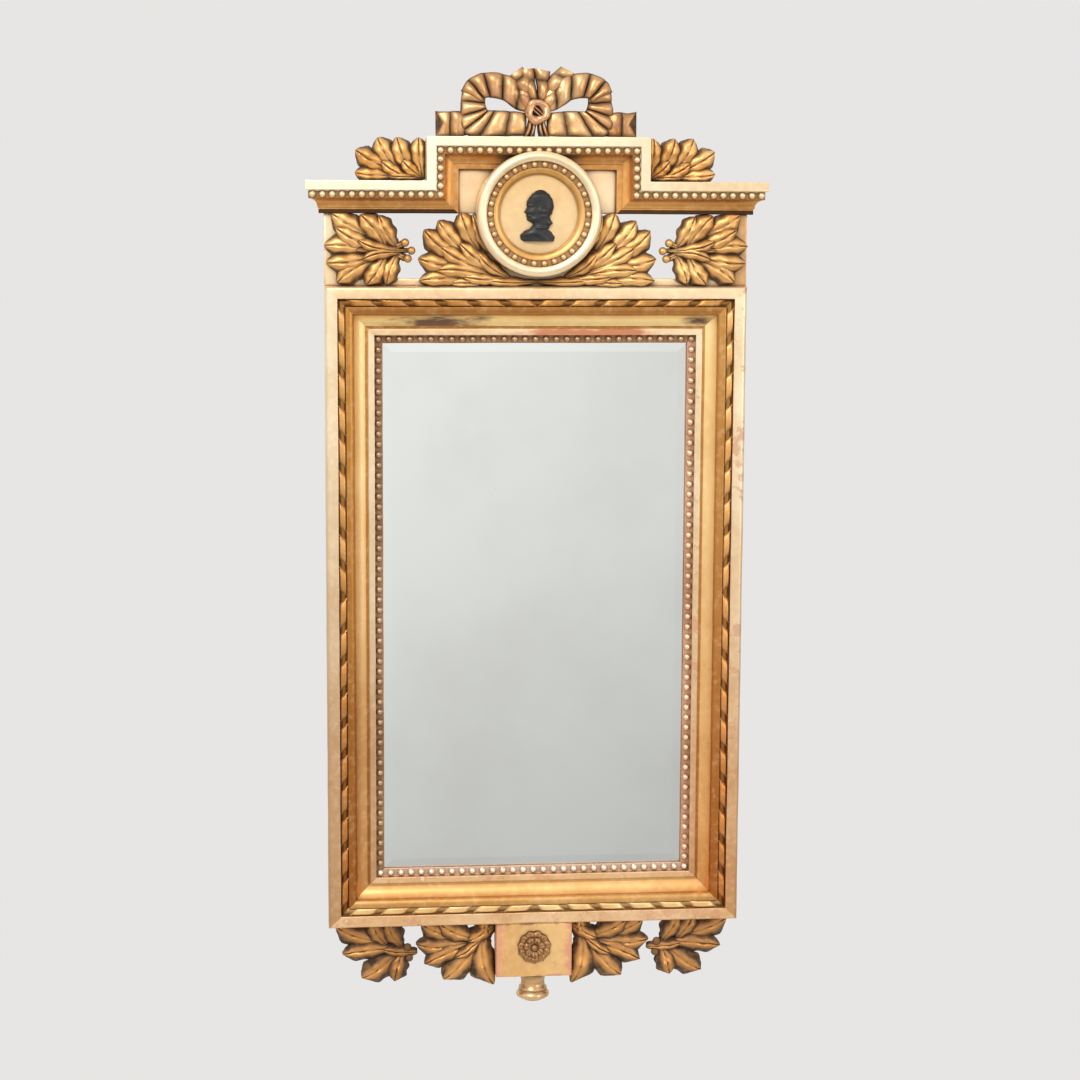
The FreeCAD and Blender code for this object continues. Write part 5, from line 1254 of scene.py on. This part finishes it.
# Dirt and painted shade darken the pleats' valleys, the ridges' folds and the ribbon's edges.
PLEAT_DEPTH, PLEAT_ROUND, PLEAT_DIRT_AND_SHADE = 0.46, 0.55, 0.95
RIDGE_DEPTH, RIDGE_ROUND, RIDGE_DIRT_AND_SHADE = 0.36, 0.7, 0.8
RIBBON_EDGE_FALL, RIBBON_EDGE_DIRT_AND_SHADE = 0.3, 8
RIBBON_REACH, RIBBON_WAVE = 0.0007, 0.009
RIBBON_ROWS = 60
RIBBON_COLUMNS = 12
KNOT_RADIUS, KNOT_TUBE = 0.0085, 0.0042
KNOT_RIDGES, KNOT_RIDGE_DEPTH, KNOT_DEPTH, KNOT_REACH = 3, 0.14, 1.1, 0.0016
KNOT_UP, KNOT_LIFT = 0.36, 0.72
KNOT_CORE, KNOT_CORE_LIFT = 0.7, 0.3
KNOT_SIDES, KNOT_TUBE_SIDES = 54, 14
RIBBON_ZONES = [0] * (RIBBON_COLUMNS + 1) + [1, 0]

bow_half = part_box("bow_tail_right")[1].x
bow_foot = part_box("bow_loop_left")[0].z
bow_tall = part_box("bow_tuft")[1].z - bow_foot
bow_back = -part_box("bow_loop_left")[1].y
bow_rise = -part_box("bow_loop_left")[0].y - bow_back
bow_skin = gilding("bow_gilding", tone=(1.0, 0.66, 0.33, 1), deep=(0.68, 0.36, 0.15, 1),
                   pale=(1.0, 0.84, 0.58, 1), worn=0.32, grime_and_shade=1.0, gloss=0.36)
tail_skin = gilding("bow_tail_gilding", tone=(0.70, 0.40, 0.18, 1), deep=(0.46, 0.23, 0.09, 1), worn=0.32,
                    grime_and_shade=1.0, gloss=0.36)
knot_skin = gilding("knot_gilding", tone=(0.84, 0.55, 0.32, 1), deep=(0.60, 0.32, 0.16, 1),
                    pale=(1.0, 0.84, 0.66, 1), worn=0.3, grime_and_shade=1.0, gloss=0.36)


def smooth_run(stations, share):
    """A place on the smooth line through a row of stations, each a tuple of numbers."""
    at = share * (len(stations) - 1)
    index = min(int(at), len(stations) - 2)
    step = at - index
    before = stations[max(index - 1, 0)]
    near, far = stations[index], stations[index + 1]
    after = stations[min(index + 2, len(stations) - 1)]
    return [
        0.5 * (2 * p1 + (p2 - p0) * step + (2 * p0 - 5 * p1 + 4 * p2 - p3) * step ** 2
               + (3 * p1 - p0 - 3 * p2 + p3) * step ** 3)
        for p0, p1, p2, p3 in zip(before, near, far, after)
    ]


def add_ribbon(shell, side, stations, pleats=0.0, ridges=0.0, fork=0.0):
    """A length of ribbon; a station is its inner edge x and z, its outer edge x and z, and its height.

    Pleats fold it across its length and ridges along it; fork is how deep the end is cut to a swallow tail.
    """
    rows, dirt_and_shade = [], []
    for row in range(RIBBON_ROWS + 1):
        share = row / RIBBON_ROWS
        inner_x, inner_z, outer_x, outer_z, height = smooth_run(stations, share)
        crest = abs(math.sin(math.pi * pleats * share)) if pleats else 1
        fold = 1 - PLEAT_DEPTH * (1 - crest ** PLEAT_ROUND)
        ring, soil_and_shade = [], []
        for column in range(RIBBON_COLUMNS + 1):
            across = column / RIBBON_COLUMNS
            edge = abs(2 * across - 1)
            ridge = abs(math.sin(math.pi * ridges * across)) ** RIDGE_ROUND if ridges else 1
            lift = height * fold * (1 - RIDGE_DEPTH * (1 - ridge)) * (1 - RIBBON_EDGE_FALL * edge ** 3)
            x = inner_x + (outer_x - inner_x) * across - fork * (1 - edge) * max(0, share * 2 - 1)
            z = inner_z + (outer_z - inner_z) * across
            ring.append((x, z, lift))
            soil_and_shade.append(max(PLEAT_DIRT_AND_SHADE * (1 - crest), RIDGE_DIRT_AND_SHADE * (1 - ridge), edge ** RIBBON_EDGE_DIRT_AND_SHADE))
        ring += [(ring[-1][0], ring[-1][1], 0), (ring[0][0], ring[0][1], 0)]
        dirt_and_shade.append(soil_and_shade + [1, 1])
        rows.append([
            uneven(Vector((side * bow_half * x, -bow_back - bow_rise * lift, bow_foot + bow_tall * z)),
                   RIBBON_REACH, RIBBON_WAVE)
            for x, z, lift in ring
        ])
    shell.loft(rows, zones=RIBBON_ZONES, dirt_and_shade=dirt_and_shade)


for side, hand in ((-1, "left"), (1, "right")):
    shell = Shell()
    add_ribbon(shell, side, ((0.51, 0.58, 0.73, 0.68, 0.60), (0.51, 0.46, 0.75, 0.46, 0.72),
                             (0.49, 0.38, 0.75, 0.20, 0.78), (0.45, 0.37, 0.66, 0.0, 0.80),
                             (0.30, 0.37, 0.36, 0.0, 0.74), (0.10, 0.34, 0.10, 0.02, 0.62)), pleats=6)
    add_ribbon(shell, side, ((0.06, 0.34, 0.05, 0.62, 0.62), (0.20, 0.39, 0.18, 0.78, 0.86),
                             (0.34, 0.52, 0.34, 0.89, 0.95), (0.46, 0.56, 0.53, 0.90, 0.97),
                             (0.52, 0.54, 0.68, 0.80, 0.95), (0.53, 0.49, 0.75, 0.64, 0.88)), pleats=5)
    shell.piece(f"pleated_bow_loop_{hand}", [bow_skin, limewood], [f"bow_loop_{hand}"], crease=60)
    shell = Shell()
    add_ribbon(shell, side, ((0.68, 0.02, 0.68, 0.34, 0.40), (0.80, 0.0, 0.80, 0.36, 0.58),
                             (0.90, 0.0, 0.90, 0.35, 0.45), (1.0, 0.0, 1.0, 0.36, 0.40)), pleats=2, fork=0.07)
    shell.piece(f"pleated_bow_tail_{hand}", [tail_skin, limewood], [f"bow_tail_{hand}"], crease=60)

shell = Shell()
for stations in (
    ((0.02, 0.50, -0.08, 0.50, 0.72), (-0.01, 0.74, -0.13, 0.72, 0.90), (-0.03, 0.97, -0.18, 0.94, 0.66)),
    ((0.10, 0.48, 0.0, 0.50, 0.76), (0.12, 0.72, 0.0, 0.74, 0.94), (0.13, 0.93, -0.04, 0.97, 0.66)),
    ((-0.02, 0.66, -0.12, 0.56, 0.70), (-0.08, 0.86, -0.22, 0.70, 0.98), (-0.14, 0.99, -0.29, 0.84, 0.66)),
    ((0.16, 0.58, 0.06, 0.66, 0.72), (0.28, 0.76, 0.14, 0.87, 0.96), (0.40, 0.88, 0.24, 1.0, 0.62)),
    ((-0.02, 0.54, -0.06, 0.34, 0.60), (-0.14, 0.66, -0.16, 0.42, 1.0), (-0.24, 0.76, -0.25, 0.54, 0.80)),
    ((0.06, 0.34, 0.02, 0.54, 0.60), (0.17, 0.43, 0.14, 0.68, 1.0), (0.27, 0.56, 0.24, 0.80, 0.82)),
):
    add_ribbon(shell, 1, stations, pleats=1.6, ridges=1)
shell.piece("crumpled_bow_tuft", [bow_skin, limewood], ["bow_tuft"], crease=60)

shell = Shell()
for side in (-1, 1):
    add_ribbon(shell, side, ((0.0, 0.26, 0.08, 0.24, 0.62), (0.01, 0.12, 0.10, 0.12, 0.72),
                             (0.02, 0.0, 0.13, 0.0, 0.55)), ridges=2)
knot_middle = Vector((0, -bow_back - bow_rise * KNOT_LIFT, bow_foot + bow_tall * KNOT_UP))
add_pearl(shell, Vector((0, -bow_back - bow_rise * KNOT_CORE_LIFT, knot_middle.z)), KNOT_RADIUS * KNOT_CORE)
add_ribbon(shell, 1, ((-0.09, 0.42, -0.05, 0.48, 0.84), (-0.022, 0.32, 0.022, 0.40, 1.0),
                      (0.05, 0.24, 0.09, 0.30, 0.84)), ridges=2)
rows = []
for row in range(KNOT_SIDES + 1):
    turn = math.tau * row / KNOT_SIDES
    outward = Vector((math.cos(turn), 0, math.sin(turn)))
    ring = []
    for roll in turns(KNOT_TUBE_SIDES):
        tube = KNOT_TUBE * (1 + KNOT_RIDGE_DEPTH * math.sin(KNOT_RIDGES * turn + 2 * roll))
        ring.append(uneven(knot_middle + outward * (KNOT_RADIUS + tube * math.cos(roll))
                           + Vector((0, -tube * KNOT_DEPTH * math.sin(roll), 0)), KNOT_REACH, RIBBON_WAVE))
    rows.append(ring)
shell.loft(rows, capped=False)
shell.piece("twisted_bow_knot", [knot_skin, limewood], ["bow_knot"], crease=70)


# Lower tablet, rosette and drop: a plain block under the frame, with a carved double daisy and a turned drop.
# Pale worn gold on the block, brown old gilding on the rosette, pink bole along the block's edges.

TABLET_EASE = 0.0016
TABLET_BOLE = Vector((0.010, 0.03, 0.06))
PINK_BOLE = (0.62, 0.29, 0.15, 1)
PETAL_ROWS = (
    # petals, start and end as shares of the radius, width, height
    (11, 0.30, 1.0, 0.60, 0.62), (7, 0.10, 0.66, 0.52, 0.92),
)
PETAL_TURN, PETAL_BEND, PETAL_WAVE = 0.25, 0.05, 0.006
ROSETTE_BUTTON, ROSETTE_BUTTON_LIFT = 0.22, 0.5
DROP_SIDES = 48
DROP_PROFILE = (
    # share of the height from the top, share of the greatest radius, dirt and painted shade
    (0.0, 0.80, 0.8), (0.06, 0.80, 0.4), (0.10, 0.74, 0.3), (0.30, 0.70, 0.0), (0.46, 0.74, 0.4),
    (0.50, 0.84, 0.1), (0.56, 0.86, 0.2), (0.60, 0.80, 0.8), (0.64, 0.86, 0.3), (0.70, 0.97, 0.0),
    (0.77, 1.0, 0.0), (0.84, 0.96, 0.1), (0.89, 0.84, 0.3), (0.93, 0.66, 0.8), (0.97, 0.58, 0.5),
    (1.0, 0.42, 0.4),
)

tablet_middle = (lower_tablet_low.z + lower_tablet_high.z) / 2
shell = Shell()
add_board(shell, lower_tablet_low, lower_tablet_high, TABLET_EASE)
shell.piece("gilt_lower_tablet", [
    gilding("lower_tablet_gilding", tone=(0.95, 0.60, 0.26, 1), deep=(0.80, 0.44, 0.16, 1), worn=0.3,
            grime_and_shade=0.85,
            patches=[(Vector((edge, lower_tablet_low.y, tablet_middle)), TABLET_BOLE, PINK_BOLE)
                     for edge in (lower_tablet_low.x, lower_tablet_high.x)]),
    pine,
], ["lower_tablet"])

rosette_low, rosette_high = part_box("rosette")
rosette_radius = (rosette_high.x - rosette_low.x) / 2
rosette_rise = rosette_high.y - rosette_low.y
rosette_middle = Vector((0, rosette_high.y, (rosette_low.z + rosette_high.z) / 2))
shell = Shell()
for petals, start, end, wide, rise in PETAL_ROWS:
    for petal in range(petals):
        turn = math.tau * (petal + PETAL_TURN) / petals
        way = Vector((math.cos(turn), math.sin(turn))) * rosette_radius
        rows = leaf_rows(way * start, way * end, rosette_radius * wide, rosette_rise * rise, PETAL_BEND)
        shell.loft([
            [uneven(rosette_middle + Vector((spot.x, -spot.z, spot.y)), CARVED_REACH, PETAL_WAVE)
             for spot in ring]
            for ring in rows
        ], dirt_and_shade=leaf_dirt_and_shade())
add_pearl(shell, rosette_middle + Vector((0, -rosette_rise * ROSETTE_BUTTON_LIFT, 0)),
          rosette_radius * ROSETTE_BUTTON)
shell.piece("carved_rosette", [
    gilding("rosette_gilding", tone=(0.40, 0.20, 0.08, 1), deep=(0.25, 0.12, 0.045, 1), worn=0.12, grime_and_shade=1.0),
], ["rosette"], crease=70)

drop_low, drop_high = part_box("drop_finial")
drop_radius = (drop_high.x - drop_low.x) / 2
drop_middle = (drop_low + drop_high) / 2
shell = Shell()
shell.loft([
    [Vector((drop_middle.x + drop_radius * wide * math.cos(turn),
             drop_middle.y + drop_radius * wide * math.sin(turn),
             drop_high.z + (drop_low.z - drop_high.z) * down)) for turn in turns(DROP_SIDES)]
    for down, wide, soil_and_shade in DROP_PROFILE
], dirt_and_shade=[[soil_and_shade] * DROP_SIDES for down, wide, soil_and_shade in DROP_PROFILE])
shell.piece("turned_drop_finial", [
    gilding("drop_gilding", tone=(0.74, 0.48, 0.25, 1), deep=(0.52, 0.29, 0.12, 1), worn=0.3, grime_and_shade=0.9,
            gloss=0.26),
], ["drop_finial"], crease=60)


# Back: a board of three pine planks nailed over the glass, glue blocks under it, two battens at the frieze.
# All is bare wood, brown with age and dust; only nails and hanger are iron.

PLANKS = 3
PLANK_EASE = 0.0008
PLANK_GAP = 0.0004

board_low, board_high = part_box("backboard")
plank_wide = (board_high.x - board_low.x) / PLANKS
shell = Shell()
for plank in range(PLANKS):
    start = board_low.x + plank_wide * plank
    low = Vector((start + PLANK_GAP * (plank > 0), -board_high.y, board_low.z))
    high = Vector((start + plank_wide, -board_low.y, board_high.z))
    first = len(shell.points)
    add_board(shell, low, high, PLANK_EASE)
    for point in shell.points[first:]:
        point.y = -point.y
plank_wood = bare_wood("backboard_pine", light=(0.36, 0.245, 0.14, 1), dark=(0.17, 0.10, 0.05, 1))
shell.piece("planked_backboard", [plank_wood, plank_wood], ["backboard"])


def dress(skin, *nodes):
    """A finer material on solids that stay as they are."""
    for node in nodes:
        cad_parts[node].data.materials.clear()
        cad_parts[node].data.materials.append(skin)


dress(pine, "glass_blocks", "crest_battens")


# Hanger: a wrought plate screwed to the tablet's back, with an eye that holds a loose ring for a wall nail.
# Iron is dark brown-black with a little rust, and the ring is rubbed where it bears.

HOOP_SIDES, HOOP_WIRE_SIDES = 72, 14
IRON_DARK, IRON_LIGHT, RUST = (0.030, 0.027, 0.025, 1), (0.085, 0.075, 0.068, 1), (0.145, 0.055, 0.022, 1)
IRON_CLOUD, IRON_ROUGHNESS, IRON_BUMP = (120, 6), (0.3, 0.7, 0.42, 0.70), (0.4, 0.0005)
RUST_CLOUD, RUST_ROUGH, RUST_SHOW = (45, 5), 0.7, (0.52, 0.66)
IRON_METAL, RUST_METAL = 0.85, 0.1

iron = Shader("wrought_iron")
iron_scale = iron.cloud(*IRON_CLOUD)
iron_rust = iron.fade(iron.cloud(*RUST_CLOUD, rough=RUST_ROUGH), *RUST_SHOW)
iron.set(Base_Color=iron.mix(iron_rust, iron.mix(iron_scale, IRON_DARK, IRON_LIGHT), RUST))
iron.set(Metallic=iron.fade(iron_rust, 0, 1, IRON_METAL, RUST_METAL))
iron.set(Roughness=iron.fade(iron_scale, *IRON_ROUGHNESS))
iron.set(Normal=iron.bump(iron_scale, *IRON_BUMP))
dress(iron.material, "hanger_plate", "hanger_screws", "backboard_nails")

hoop_low, hoop_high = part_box("hanging_ring")
wire = (hoop_high.y - hoop_low.y) / 2
hoop_radius = (hoop_high.x - hoop_low.x) / 2 - wire
hoop_middle = (hoop_low + hoop_high) / 2
rows = []
for row in range(HOOP_SIDES + 1):
    turn = math.tau * row / HOOP_SIDES
    outward = Vector((math.cos(turn), 0, math.sin(turn)))
    rows.append([
        hoop_middle + outward * (hoop_radius + wire * math.cos(roll)) + Vector((0, wire * math.sin(roll), 0))
        for roll in turns(HOOP_WIRE_SIDES)
    ])
shell = Shell()
shell.loft(rows, capped=False)
shell.piece("forged_hanging_ring", [iron.material], ["hanging_ring"], body="ring")
